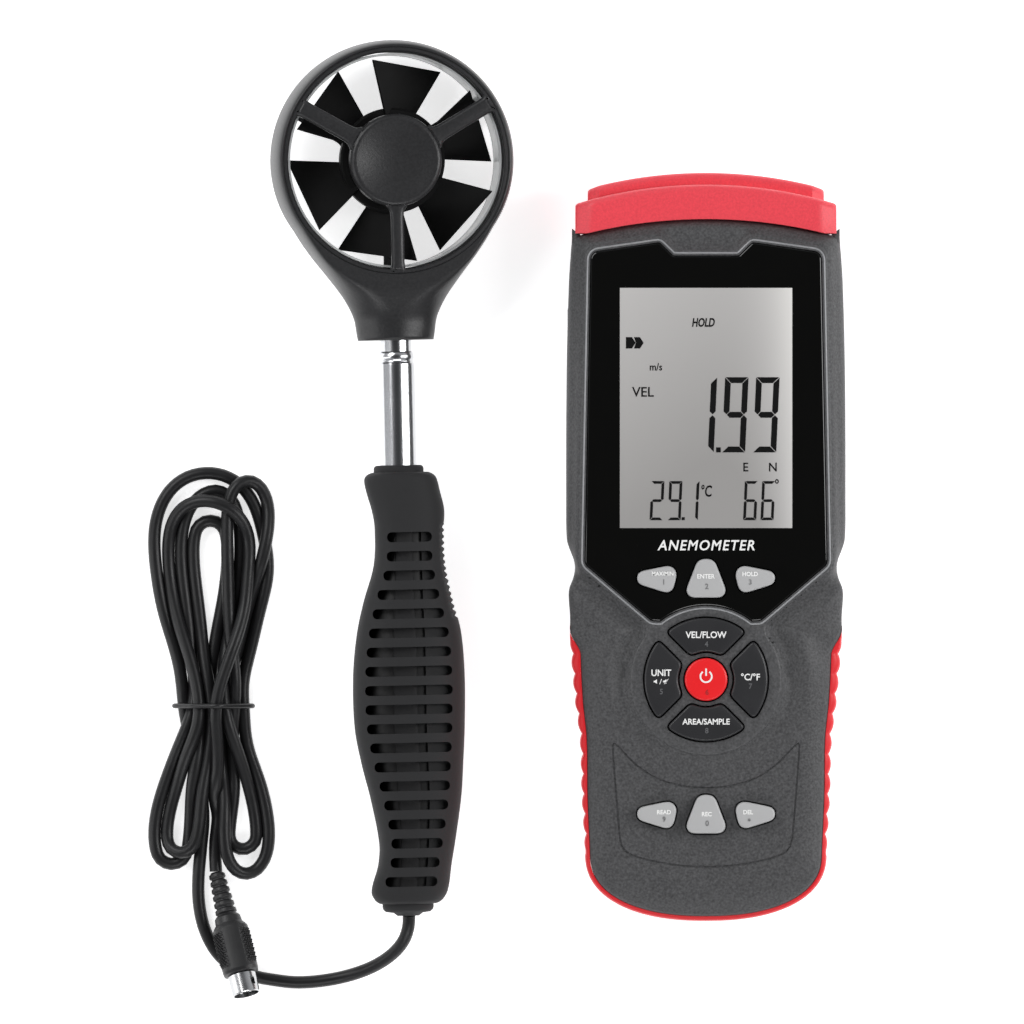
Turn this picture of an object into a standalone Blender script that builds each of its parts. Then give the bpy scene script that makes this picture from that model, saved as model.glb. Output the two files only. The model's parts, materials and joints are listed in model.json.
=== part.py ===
"""Vane anemometer: a hand-held meter and a corded vane probe, laid flat side by side.

The meter lies on its back and the probe beside it, both pointing along +Y, with +Z up from the
table. Sizes below are in millimetres; every mesh is made in metres.
"""

import math

import bmesh
import bpy
from mathutils import Matrix, Vector

MM = 0.001

# --- layout on the table -------------------------------------------------------------------
LAYOUT_WIDTH = 172.6  # from the vane head's left side to the meter's right side
LAYOUT_LENGTH = 264.6  # from the meter's bottom end to the top of the vane head
GAP = 0.3  # clearance between neighbouring pieces
PLAY = 0.1  # radial clearance of a shaft in its hole

# --- meter casing --------------------------------------------------------------------------
METER_WIDTH = 83.7
METER_LENGTH = 224.2
METER_DEPTH = 36.0
PARTING_Z = 18.0
WALL = 2.2
FACE = 3.0  # thickness of the front face
EDGE_ROUND = 3.0  # rounding of the front case's upper edge
BACK_ROUND = 2.0
END_HEIGHT = 20.0  # the lower end's corners rise this far
END_POWER = 2.3  # exponent of the superellipse that shapes them

# How far the casing's side lies inside its widest line, from the bottom end up.
LOWER_INSETS = [
    (20.0, 5.65),
    (37.6, 4.6),
    (54.4, 4.05),
    (66.5, 2.55),
    (83.6, 1.15),
    (91.2, 1.15),
    (97.3, 0.75),
    (99.9, 1.0),
    (102.5, 2.05),
    (105.6, 2.65),
    (108.2, 2.3),
    (111.1, 1.15),
    (114.4, 0.2),
    (126.4, 0.0),
]
# The same near the top, at distances down from the top of the cap.
UPPER_INSETS = [(60.0, 0.15), (32.4, 0.85), (19.5, 1.75)]

# --- red grip and cap ----------------------------------------------------------------------
GRIP_THICKNESS = [(20.0, 1.5), (54.0, 2.1), (66.0, 2.4), (81.0, 3.0), (87.5, 1.0)]
GRIP_Z = (4.0, 31.0)
CAP_UPPER_WIDTH = 70.8
CAP_LOWER_WIDTH = 78.2
CAP_STEP = 3.6  # the narrow tier stands this far beyond the wide one
CAP_SEAM = 13.6  # from the top of the cap to the top of its seam with the case
CAP_RADIUS = 135.6
SEAM_RADIUS = 150.0
CAP_SHOULDER = 5.5  # the corner facets of each tier
CAP_WALL = 2.4
CAP_LOWER_Z = (1.5, 34.5)
CAP_UPPER_Z = (5.0, 29.0)
CAP_ROUND = 1.5

# --- window and display --------------------------------------------------------------------
WINDOW_TOP = 21.05  # from the top of the cap to the window's top edge
WINDOW_TOP_WIDTH = 68.8
WINDOW_WIDTH = 72.4
WINDOW_CORNER_DROP = 2.9
NOTCH_DEPTH = 4.0
NOTCH_WIDTH = (28.0, 19.8)
WINDOW_SHOULDER = 34.6  # from the pad's centre up to where the window starts to taper
WINDOW_TIP = (16.3, 17.7)  # the taper's lower corner, across and up from the pad's centre
WINDOW_PAD_RADIUS = 22.3
WINDOW_THICKNESS = 1.7
WINDOW_SEAT = 1.6  # depth of the recess in the front face
LCD_WIDTH = 51.6
LCD_LENGTH = 71.9
LCD_TOP = 34.55  # from the top of the cap
LCD_BORDER = 4.0
LCD_GLASS = 2.6
BACKLIGHT = 3.0
BOARD = 1.6

# --- keys ----------------------------------------------------------------------------------
PAD_Y = 72.4  # from the bottom end to the centre of the round pad
PAD_RADIUS = 18.5
PAD_INNER = 8.6
PAD_GAP = 2.7
POWER_RADIUS = 6.4
PAD_RING = (21.2, 23.4)
PAD_RING_HEIGHT = 1.0
UPPER_KEYS_RISE = 30.2  # from the pad's centre
LOWER_KEYS_DROP = 40.4
SIDE_KEY_OFFSET = 14.2
MIDDLE_KEY = (11.8, 11.0)
SIDE_KEY = (11.4, 8.6)
KEY_ROUND = 2.3
KEY_FLANGE = 0.8
KEY_FLANGE_HEIGHT = 1.3
KEY_PROUD = 1.6
KEY_TRAVEL = 1.0
KEYPAD_SHEET = 1.4
BOSS_RADIUS = 2.2

# --- inside and behind the meter -----------------------------------------------------------
BATTERY = (26.5, 48.5, 17.0)
BATTERY_Y = 40.0
BATTERY_PAD = 0.4
DOOR_SIDE_MARGIN = 3.0
DOOR_END_INSET = 2.2  # from the meter's bottom end to the end of the battery door
SCREW_RADIUS = 1.3
SCREW_HEAD_RADIUS = 2.6
SCREW_HEAD = 1.7
SCREW_HEAD_RECESS = 2.0
BOSS_WALL = 2.2
HEAD_POST_WALL = 1.2
SCREW_LENGTH = 22.0
SCREW_INSET = 8.2
SCREW_ROWS = (29.0, 190.0)
PORT_Y = 155.8  # from the bottom end to the middle of the side cover
PORT_LENGTH = 56.0
PORT_HEIGHT = 12.0
PORT_THICKNESS = 2.0
PORT_Z = 19.5
PORT_INSET = 0.4  # how far the cover lies inside the casing's widest line
SOCKET_RADIUS = 5.2
SOCKET_BORE = 4.4
SOCKET_DEPTH = 10.0
SOCKET_FLOOR = 2.0
USB_SIZE = (9.0, 9.2, 4.5)
USB_WALL = 0.7
USB_FLOOR = 1.5
SOCKET_SPREAD = 13.0
BOARD_MARGIN = 1.5
BOARD_END = 24.0
POST_CLEARANCE = 1.0
BUZZER = (7.0, 5.0)
BUZZER_OFFSET = (18.0, 10.0)  # from the pad's centre

# --- probe ---------------------------------------------------------------------------------
PROBE_LEAN = 1.25  # degrees, the whole probe's turn on the table
MAST_X = -47.7  # where the mast leaves the handle, across and along the table
MAST_FROM_TOP = 128.4  # from the top of the layout down to the mast's foot
MAST_Z = 17.0
HEAD_SWIVEL = 7.0  # degrees, the head's turn about the mast at rest

# Handle outline: distance down from its top end, left side, right side.
HANDLE_OUTLINE = [
    (1.7, 9.2, 9.9),
    (3.6, 10.4, 11.3),
    (7.7, 9.8, 12.3),
    (12.8, 8.4, 13.4),
    (18.2, 7.6, 13.3),
    (29.3, 8.1, 13.5),
    (40.8, 11.5, 15.6),
    (49.9, 13.6, 17.7),
    (62.3, 15.0, 18.5),
    (77.9, 14.9, 18.2),
    (89.3, 13.0, 17.5),
    (99.4, 10.6, 16.7),
    (112.7, 8.3, 14.6),
    (119.2, 8.7, 13.4),
    (127.5, 10.9, 12.0),
    (131.2, 9.3, 9.8),
]
# Handle depth: distance down, depth below and above the mast's axis.
HANDLE_DEPTH = [
    (1.7, 9.4, 9.4),
    (18.2, 11.5, 10.6),
    (62.3, MAST_Z, 15.0),
    (112.7, 12.5, 12.0),
    (131.2, 9.6, 9.6),
]
HANDLE_POWER = 2.5  # exponent of the superellipse of its cross-section
HANDLE_SIDES = 16
SLEEVE_WALL = 1.3
SLEEVE_END = 1.6
SLOT_COUNT = 19
SLOT_FIRST = 21.2
SLOT_PITCH = 5.74
SLOT_HEIGHT = 3.0
SLOT_MARGIN = 3.7
CORD_HOLE = 3.5  # radius of the sleeve's hole for the cord
CORD_CHANNEL = 2.9  # and of the channel through the core
COLLAR_RADIUS = 7.5
COLLAR_HEIGHT = 2.3
GLAND_RADIUS = 7.6
GLAND_PROUD = 2.3
GLAND_TIP = 1.2

OUTER_TUBE_RADIUS = 5.5
INNER_TUBE_RADIUS = 4.65
TUBE_WALL = 0.6
OUTER_TUBE_TOP = 34.5  # from the mast's foot
OUTER_TUBE_SWAGE = 3.0
SWAGE_STEP = 0.35
INNER_TUBE_FOOT = -93.0
OUTER_TUBE_FOOT = -97.0
NECK_FOOT = 37.9
NECK_SOCKET = 10.0

# --- vane head -----------------------------------------------------------------------------
DUCT_RADIUS = 32.5
RING_WALL = 3.7
RING_CROWN = 1.2  # the ring's outside is this much higher in the middle than at its edges
RING_HALF_DEPTH = 11.6
GUARD_SEAT = 1.5  # the guards' seats are this much wider than the duct
GUARD_SEAT_DEPTH = 2.4
GUARD_THICKNESS = 2.0
GUARD_RIM = 1.5
GUARD_HUB_RADIUS = 13.4
GUARD_HUB_DEPTH = 5.2
GUARD_HUB_PROUD = 0.4
SPOKE_ANGLES = (30.0, 150.0, 270.0)
SPOKE_WIDTH = 4.6
LINER_WALL = 0.6
LINER_HALF_DEPTH = 8.0
NECK_LENGTH = 17.7  # from the neck's foot to the ring
# Neck half-width at distances up from its foot, and how far it lies inside the ring's at its top.
NECK_FLARE = [(0.0, 11.6), (7.0, 12.2), (12.0, 14.6), (21.0, 22.5)]
NECK_TOP = (30.0, 7.7)
NECK_HALF_DEPTH = (9.4, 11.0)
NECK_POWER = 2.5
NECK_SIDES = 20
NECK_OVERLAP = 4.0  # how far the neck's and the ring's solids run into the duct before it is cut

HUB_RADIUS = 15.8
HUB_HALF_DEPTH = 2.6
BLADE_COUNT = 6
BLADE_FIRST = 20.0
BLADE_PITCH = 33.0
BLADE_ROOT_WIDTH = 10.2
BLADE_TIP_WIDTH = 25.2
BLADE_CLEARANCE = 0.7  # from the blade's corners to the liner
BLADE_THICKNESS = 0.8
BLADE_ROOT_INSET = 3.5
SHAFT_RADIUS = 1.0
SHAFT_HALF_LENGTH = 8.2
BEARING_RADIUS = 3.0
BEARING_WIDTH = 2.2
SENSOR = (6.0, 4.0, 2.4)
SENSOR_INSET = 4.8  # from the rear hub's rim
SENSOR_PROUD = 1.2
THERMISTOR_RADIUS = 1.2
THERMISTOR_LENGTH = 5.0
THERMISTOR_HOLE = 2.0

# --- cord and plug -------------------------------------------------------------------------
CORD = 3.8
# The cord's lead from the handle to the hank, as chosen on the table (x, y, z).
LEAD_ROUTE = [
    (-44.55, -130.9, 16.9),
    (-44.8, -134.6, 16.2),
    (-46.3, -138.6, 14.2),
    (-49.3, -142.2, 11.2),
    (-53.4, -145.2, 7.8),
    (-58.4, -147.6, 4.6),
    (-64.6, -149.5, 2.6),
    (-71.5, -150.7, 2.0),
    (-78.5, -151.1, 1.95),
    (-85.0, -150.4, 1.95),
    (-91.2, -149.2, 1.95),
    (-97.2, -146.6, 1.95),
    (-102.4, -142.0, 1.95),
    (-106.0, -135.2, 1.95),
    (-107.7, -127.6, 1.95),
    (-107.9, -120.0, 1.95),
    (-107.2, -111.6, 1.95),
    (-106.4, -103.6, 1.95),
    (-106.0, -97.3, 1.95),
]
# The cord's tail from the hank to the plug.
TAIL_ROUTE = [
    (-101.9, -97.3, 2.0),
    (-102.2, -103.6, 2.1),
    (-102.75, -108.2, 2.0),
    (-102.85, -112.8, 2.1),
    (-102.6, -117.75, 2.4),
]
HANK_TIE_Y = -68.0
HANK_FORK_Y = -97.0
HANK_LOBES = [(-117.0, -123.4, 6.7), (-91.0, -123.6, 6.5)]  # middle, lowest point, radius
HANK_FORK = (-108.3, -99.6)  # the fork's sides, where the lead and the tail come out
HANK_HEAD = (-104.2, -14.8, 19.5)
HANK_WAIST = 15.4
HANK_WAIST_REACH = 4.0
HANK_TAPER = 1.5
HANK_HEIGHT = 11.4
TIE_THICKNESS = 1.3
TIE_WIDTH = 2.0
TIE_PINCH = 10.4
TIE_CORE_MARGIN = 0.6

PLUG_FOOT = (-102.5, -118.2, 2.5)
PLUG_TURN = 14.1  # degrees off -Y, towards +X
PLUG_RISE = 14.0  # degrees: the nose lies on the lead and the strain relief on the table
RELIEF_LENGTH = 13.4
RELIEF_RADII = (2.3, 3.2)
RELIEF_RIBS = 6
RELIEF_GROOVE = 0.5
PLUG_COLLAR = 3.0
PLUG_BODY_LENGTH = 15.6
PLUG_BODY_RADIUS = 5.4
SHELL_RADIUS = 4.2
SHELL_WALL = 0.45
SHELL_LENGTH = 6.0
PIN_RADIUS = 0.45
PIN_CIRCLE = 1.9
PIN_COUNT = 4
INSERT_THICKNESS = 1.6

# --- derived -------------------------------------------------------------------------------
METER_X = LAYOUT_WIDTH / 2 - METER_WIDTH / 2
METER_Y = -LAYOUT_LENGTH / 2
METER_TOP_Y = METER_Y + METER_LENGTH
FACE_UNDER = METER_DEPTH - FACE
SEAM_Y = METER_LENGTH - CAP_SEAM
KEY_TOP = METER_DEPTH + KEY_PROUD
RING_RADIUS = DUCT_RADIUS + RING_WALL
RING_EDGE_RADIUS = RING_RADIUS - RING_CROWN
GUARD_SEAT_RADIUS = DUCT_RADIUS + GUARD_SEAT
HEAD_CENTRE = NECK_FOOT + NECK_LENGTH + RING_RADIUS
BLADE_TIP_RADIUS = DUCT_RADIUS - GAP - LINER_WALL - BLADE_CLEARANCE
SENSOR_OFFSET = GUARD_HUB_RADIUS - SENSOR_INSET
FLANGE_TOP = FACE_UNDER - GAP
FLANGE_BASE = FLANGE_TOP - KEY_FLANGE_HEIGHT
BOSS_TOP = FLANGE_BASE - KEY_TRAVEL - GAP
GLASS_TOP = FACE_UNDER - GAP
BACKLIGHT_TOP = GLASS_TOP - LCD_GLASS - GAP
BOARD_TOP = BACKLIGHT_TOP - BACKLIGHT - GAP
PROBE = (
    Matrix.Translation((MAST_X * MM, (LAYOUT_LENGTH / 2 - MAST_FROM_TOP) * MM, MAST_Z * MM))
    @ Matrix.Rotation(math.radians(PROBE_LEAN), 4, "Z")
)
HEAD = (
    PROBE
    @ Matrix.Translation((0, HEAD_CENTRE * MM, 0))
    @ Matrix.Rotation(math.radians(HEAD_SWIVEL), 4, "Y")
)
ALONG_Y = Matrix.Rotation(math.radians(-90), 4, "X")  # turns a piece made along +Z to run along +Y
METER = Matrix.Translation((METER_X * MM, METER_Y * MM, 0))

PARTS = None
CUTTERS = None


# --- scene and materials -------------------------------------------------------------------
def clear_scene():
    """Removes the objects the file starts with and makes the two collections."""
    global PARTS, CUTTERS
    for obj in list(bpy.data.objects):
        bpy.data.objects.remove(obj, do_unlink=True)
    PARTS = bpy.data.collections.new("vane_anemometer")
    CUTTERS = bpy.data.collections.new("cutters")
    CUTTERS.hide_render = True
    for collection in (PARTS, CUTTERS):
        bpy.context.scene.collection.children.link(collection)


def material(name, color, roughness, metallic=0.0):
    """A Principled material of the given linear colour."""
    made = bpy.data.materials.get(name)
    if made is None:
        made = bpy.data.materials.new(name)
        made.use_nodes = True
        shader = made.node_tree.nodes["Principled BSDF"]
        shader.inputs["Base Color"].default_value = (*color, 1.0)
        shader.inputs["Roughness"].default_value = roughness
        shader.inputs["Metallic"].default_value = metallic
    return made


def finishes():
    """The object's finishes by slot name."""
    return {
        "case_plastic": material("case_plastic", (0.07, 0.07, 0.073), 0.5),
        "red_rubber": material("red_rubber", (0.72, 0.03, 0.04), 0.45),
        "window_lens": material("window_lens", (0.004, 0.004, 0.004), 0.08),
        "lcd": material("lcd", (0.45, 0.45, 0.44), 0.2),
        "grey_key": material("grey_key", (0.5, 0.5, 0.5), 0.45),
        "dark_key": material("dark_key", (0.03, 0.03, 0.03), 0.45),
        "red_key": material("red_key", (0.75, 0.02, 0.02), 0.4),
        "circuit_board": material("circuit_board", (0.02, 0.13, 0.05), 0.5),
        "steel": material("steel", (0.55, 0.55, 0.55), 0.3, 1.0),
        "chrome": material("chrome", (0.75, 0.75, 0.76), 0.12, 1.0),
        "black_plastic": material("black_plastic", (0.02, 0.02, 0.02), 0.4),
        "soft_rubber": material("soft_rubber", (0.025, 0.025, 0.025), 0.8),
        "cord_pvc": material("cord_pvc", (0.012, 0.012, 0.012), 0.4),
        "liner": material("liner", (0.6, 0.6, 0.6), 0.3),
        "battery_can": material("battery_can", (0.2, 0.2, 0.22), 0.4, 0.6),
    }


# --- making and joining pieces -------------------------------------------------------------
def place(name, mesh, finish=None, matrix=None):
    """Puts a mesh in the scene: a part where it has a finish, and a cutter where it has none."""
    obj = bpy.data.objects.new(name, mesh)
    if finish is None:
        CUTTERS.objects.link(obj)
        obj.hide_render = True
        obj.display_type = "WIRE"
    else:
        PARTS.objects.link(obj)
        mesh.materials.append(finish)
        mesh.shade_smooth()
        mesh.set_sharp_from_angle(angle=math.radians(35))
    if matrix is not None:
        obj.matrix_world = matrix
    return obj


def mesh_of(name, geometry):
    """A mesh from a bmesh, with its doubled points merged and its faces turned outwards."""
    bmesh.ops.remove_doubles(geometry, verts=geometry.verts, dist=1e-6)
    bmesh.ops.recalc_face_normals(geometry, faces=geometry.faces)
    mesh = bpy.data.meshes.new(name)
    geometry.to_mesh(mesh)
    geometry.free()
    return mesh


def prism(name, outlines, low, high, finish=None, matrix=METER):
    """A flat outline, with any holes in it, as a slab from low to high."""
    curve = bpy.data.curves.new(name, "CURVE")
    curve.dimensions = "2D"
    curve.fill_mode = "BOTH"
    curve.extrude = (high - low) / 2 * MM
    for outline in outlines:
        spline = curve.splines.new("POLY")
        spline.points.add(len(outline) - 1)
        for point, (x, y) in zip(spline.points, outline):
            point.co = (x * MM, y * MM, 0, 1)
        spline.use_cyclic_u = True
    flat = bpy.data.objects.new(name + "_outline", curve)
    bpy.context.scene.collection.objects.link(flat)
    bpy.context.view_layer.update()
    raised = flat.evaluated_get(bpy.context.evaluated_depsgraph_get())
    geometry = bmesh.new()
    geometry.from_mesh(bpy.data.meshes.new_from_object(raised))
    bpy.data.objects.remove(flat, do_unlink=True)
    bmesh.ops.translate(geometry, verts=geometry.verts, vec=(0, 0, (low + high) / 2 * MM))
    return place(name, mesh_of(name, geometry), finish, matrix)


def box(name, size, centre, finish=None, matrix=METER):
    """A block of the given size about its centre."""
    geometry = bmesh.new()
    bmesh.ops.create_cube(geometry, size=1.0)
    bmesh.ops.scale(geometry, verts=geometry.verts, vec=[side * MM for side in size])
    bmesh.ops.translate(geometry, verts=geometry.verts, vec=[value * MM for value in centre])
    return place(name, mesh_of(name, geometry), finish, matrix)


def rod(name, radius, low, high, centre=(0, 0), finish=None, matrix=METER, sides=24, tip=None):
    """A cylinder, or a cone where tip gives its upper radius, along Z from low to high."""
    geometry = bmesh.new()
    bmesh.ops.create_cone(
        geometry,
        cap_ends=True,
        segments=sides,
        radius1=radius * MM,
        radius2=(radius if tip is None else tip) * MM,
        depth=(high - low) * MM,
    )
    middle = (centre[0] * MM, centre[1] * MM, (low + high) / 2 * MM)
    bmesh.ops.translate(geometry, verts=geometry.verts, vec=middle)
    return place(name, mesh_of(name, geometry), finish, matrix)


def turned(name, profile, finish=None, matrix=METER, steps=24):
    """A profile of (radius, height) points, from top to bottom down its outer side, turned about Z."""
    mesh = bpy.data.meshes.new(name)
    count = len(profile)
    closed = profile[0][0] > 0 or profile[-1][0] > 0
    edges = [(i, i + 1) for i in range(count - 1)] + ([(count - 1, 0)] if closed else [])
    mesh.from_pydata([(radius * MM, 0, height * MM) for radius, height in profile], edges, [])
    obj = place(name, mesh, finish, matrix)
    screw = obj.modifiers.new("turn", "SCREW")
    screw.steps = screw.render_steps = steps
    screw.use_merge_vertices = True
    screw.merge_threshold = 1e-5
    screw.use_smooth_shade = False
    return obj


def loft(name, sections, finish=None, matrix=METER):
    """A solid through closed sections of equal length, with both ends closed."""
    geometry = bmesh.new()
    rings = [[geometry.verts.new([value * MM for value in point]) for point in ring] for ring in sections]
    around = len(rings[0])
    for lower, upper in zip(rings, rings[1:]):
        for i in range(around):
            j = (i + 1) % around
            geometry.faces.new((lower[i], lower[j], upper[j], upper[i]))
    geometry.faces.new(rings[0])
    geometry.faces.new(rings[-1])
    bmesh.ops.triangulate(geometry, faces=geometry.faces)
    return place(name, mesh_of(name, geometry), finish, matrix)


def wire(name, points, radius, finish):
    """A round cord along points on the table."""
    curve = bpy.data.curves.new(name, "CURVE")
    curve.dimensions = "3D"
    curve.bevel_depth = radius * MM
    curve.bevel_resolution = 2
    curve.use_fill_caps = True
    spline = curve.splines.new("POLY")
    spline.points.add(len(points) - 1)
    for point, at in zip(spline.points, points):
        point.co = (*[value * MM for value in at], 1)
    obj = bpy.data.objects.new(name, curve)
    curve.materials.append(finish)
    PARTS.objects.link(obj)
    return obj


def combine(target, other, operation):
    """A Boolean of two pieces; the second one becomes a cutter."""
    if other.name in PARTS.objects:
        PARTS.objects.unlink(other)
        CUTTERS.objects.link(other)
        other.hide_render = True
        other.display_type = "WIRE"
    step = target.modifiers.new(other.name, "BOOLEAN")
    step.operation = operation
    step.solver = "EXACT"
    step.object = other


def cut(target, *others):
    for other in others:
        combine(target, other, "DIFFERENCE")


def join(target, *others):
    for other in others:
        combine(target, other, "UNION")


def round_edges(obj, height, width, segments=1):
    """Rounds the edges of a slab that lie at the given height."""
    mesh = obj.data
    weights = mesh.attributes.new("bevel_weight_edge", "FLOAT", "EDGE")
    for edge in mesh.edges:
        ends = [mesh.vertices[i].co.z for i in edge.vertices]
        weights.data[edge.index].value = float(all(abs(z - height * MM) < 1e-6 for z in ends))
    bevel = obj.modifiers.new("round", "BEVEL")
    bevel.limit_method = "WEIGHT"
    bevel.width = width * MM
    bevel.segments = segments


# --- outlines ------------------------------------------------------------------------------
def between(stations, at):
    """The value at a distance along stations of (distance, value), by a smooth cubic."""
    stations = sorted(stations)
    if at <= stations[0][0]:
        return stations[0][1]
    if at >= stations[-1][0]:
        return stations[-1][1]
    k = max(i for i, (distance, _) in enumerate(stations) if distance <= at)
    k = min(k, len(stations) - 2)
    (x0, y0), (x1, y1) = stations[k], stations[k + 1]
    xa, ya = stations[max(k - 1, 0)]
    xb, yb = stations[min(k + 2, len(stations) - 1)]
    slope0 = (y1 - ya) / (x1 - xa)
    slope1 = (yb - y0) / (xb - x0)
    h = x1 - x0
    t = (at - x0) / h
    return (
        (2 * t**3 - 3 * t**2 + 1) * y0
        + (t**3 - 2 * t**2 + t) * h * slope0
        + (3 * t**2 - 2 * t**3) * y1
        + (t**3 - t**2) * h * slope1
    )


def circle(radius, count=32, centre=(0, 0)):
    turns = [2 * math.pi * i / count for i in range(count)]
    return [(centre[0] + radius * math.cos(a), centre[1] + radius * math.sin(a)) for a in turns]


def arc(radius, first, last, count, centre=(0, 0)):
    """Points on an arc between two angles in degrees."""
    angles = [math.radians(first + (last - first) * i / (count - 1)) for i in range(count)]
    return [(centre[0] + radius * math.cos(a), centre[1] + radius * math.sin(a)) for a in angles]


def rounded(corners, radius, steps=2):
    """A polygon with its corners rounded; radius is one value or one for each corner."""
    radii = radius if isinstance(radius, (list, tuple)) else [radius] * len(corners)
    points = []
    for i, (corner, r) in enumerate(zip(corners, radii)):
        here = Vector(corner)
        before = (Vector(corners[i - 1]) - here).normalized()
        after = (Vector(corners[(i + 1) % len(corners)]) - here).normalized()
        half = before.angle(after) / 2
        if r <= 0 or half > math.radians(89):
            points.append(tuple(here))
            continue
        reach = r / math.tan(half)
        centre = here + (before + after).normalized() * (r / math.sin(half))
        start = here + before * reach - centre
        turn = start.angle_signed(here + after * reach - centre)
        for k in range(steps + 1):
            points.append(tuple(centre + Matrix.Rotation(-turn * k / steps, 2) @ start))
    return points


def offset(points, distance):
    """A closed outline moved outwards by a distance, or inwards where it is negative."""
    area = sum(a[0] * b[1] - b[0] * a[1] for a, b in zip(points, points[1:] + points[:1]))
    side = math.copysign(1.0, area)
    moved = []
    for i, point in enumerate(points):
        here = Vector(point)
        to_here = (here - Vector(points[i - 1])).normalized()
        onward = (Vector(points[(i + 1) % len(points)]) - here).normalized()
        first = Vector((to_here.y, -to_here.x)) * side
        second = Vector((onward.y, -onward.x)) * side
        normal = (first + second).normalized()
        moved.append(tuple(here + normal * (distance / max(normal.dot(first), 0.5))))
    return moved


def shifted(points, x, y):
    return [(px + x, py + y) for px, py in points]


def mirrored(points):
    return [(-x, y) for x, y in reversed(points)]


# --- meter outlines ------------------------------------------------------------------------
def side_stations(inset=0.0):
    """(height up the meter, half-width) along the casing's straight part."""
    half = METER_WIDTH / 2 - inset
    lower = [(y, half - step) for y, step in LOWER_INSETS]
    upper = [(METER_LENGTH - y, half - step) for y, step in UPPER_INSETS]
    return lower + upper


def grip_depth(y):
    """How far the grip is let into the casing at this height up the meter."""
    if y >= GRIP_THICKNESS[-1][0]:
        return 0.0
    return between(GRIP_THICKNESS, y)


def side_heights():
    """The heights at which the casing's side has a point."""
    return sorted(y for y, _ in side_stations())


def lower_end(half_width, drop=0.0, count=7):
    """The right half of the rounded lower end, from the middle up to the straight side."""
    points = []
    for i in range(count):
        turn = math.pi / 2 * i / (count - 1)
        x = half_width * math.sin(turn) ** (2 / END_POWER)
        y = END_HEIGHT - (END_HEIGHT - drop) * math.cos(turn) ** (2 / END_POWER)
        points.append((x, y))
    return points


def seam(half_width, clearance):
    """The right half of the arc where the case meets the cap, from the side to the middle."""
    apex = SEAM_Y - clearance
    xs = [half_width * (1 - i / 5) for i in range(6)]
    return [(x, apex - SEAM_RADIUS + math.sqrt(SEAM_RADIUS**2 - x**2)) for x in xs]


def case_outline(inset=0.0, top_clearance=GAP):
    """The casing under the grip: the body's outline less the grip's depth."""
    stations = side_stations(inset)
    side = []
    for y in side_heights():
        side.append((between(stations, y) - grip_depth(y), y))
    end = lower_end(side[0][0], grip_depth(0) + inset)[:-1]
    end[0] = (0.0, end[0][1])
    top = seam(side[-1][0], top_clearance + inset)
    right = end + side + top
    return right + mirrored(right[1:-1])


def grip_outline():
    """A U round both sides and the lower end, from the body's line in to the casing."""
    stations = side_stations()
    heights = [y for y in side_heights() if y < GRIP_THICKNESS[-1][0]]
    side = [(between(stations, y), y) for y in heights]
    outer = lower_end(side[0][0])[:-1] + side
    outer[0] = (0.0, 0.0)
    inner = [(between(stations, y) - grip_depth(y) + GAP, y) for y in heights]
    shelf = lower_end(inner[0][0], grip_depth(0) - GAP)[:-1] + inner
    shelf[0] = (0.0, grip_depth(0) - GAP)
    return outer + shelf[::-1] + [(-x, y) for x, y in shelf[1:]] + mirrored(outer[1:])


def window_outline(clearance=0.0):
    """The display window: a notched top, straight sides, a taper and a hollow round the pad."""
    top = METER_LENGTH - WINDOW_TOP
    tip_x, tip_up = WINDOW_TIP
    hollow = arc(WINDOW_PAD_RADIUS, 90, 52, 5, (0, PAD_Y))
    right = [
        (NOTCH_WIDTH[1] / 2, top - NOTCH_DEPTH),
        (NOTCH_WIDTH[0] / 2, top),
        (WINDOW_TOP_WIDTH / 2, top - WINDOW_CORNER_DROP),
        (WINDOW_WIDTH / 2, PAD_Y + WINDOW_SHOULDER),
        (tip_x, PAD_Y + tip_up),
        hollow[3],
        hollow[2],
        hollow[1],
    ]
    radii = [1.0, 1.0, 2.0, 2.0, 1.0, 0, 0, 0]
    points = right + [hollow[0]] + [(-x, y) for x, y in reversed(right)]
    outline = rounded(points, radii + [0] + list(reversed(radii)), 2)
    return offset(outline, clearance) if clearance else outline


def cap_tier(width, apex):
    """One tier of the cap: an arched top with facets at its corners."""
    half = width / 2
    shoulder = half - CAP_SHOULDER / 2
    end = apex - CAP_RADIUS + math.sqrt(CAP_RADIUS**2 - shoulder**2)
    angle = math.degrees(math.asin(shoulder / CAP_RADIUS))
    top = arc(CAP_RADIUS, 90 - angle, 90 + angle, 9, (0, apex - CAP_RADIUS))
    right = [(half, SEAM_Y - CAP_SEAM), (half, end - CAP_SHOULDER / 2)]
    return right + top + [(-x, y) for x, y in reversed(right)]


def middle_key():
    """A rounded triangle that points up the meter."""
    half, rise = MIDDLE_KEY[0] / 2, MIDDLE_KEY[1] / 2
    corners = [(-half, -rise), (half, -rise), (half * 0.38, rise), (-half * 0.38, rise)]
    return rounded(corners, [KEY_ROUND * 0.8, KEY_ROUND * 0.8, KEY_ROUND, KEY_ROUND])


def side_key(side):
    """A rounded triangle that points away from the middle; side is -1 on the left."""
    half, rise = SIDE_KEY[0] / 2, SIDE_KEY[1] / 2
    corners = [(-half, rise * 0.5), (-half, -rise * 0.3), (half * 0.72, -rise), (half, rise)]
    near, far = KEY_ROUND * 0.75, KEY_ROUND * 0.9
    points = rounded(corners, [near, near, far, far])
    return points if side < 0 else mirrored(points)


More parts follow.
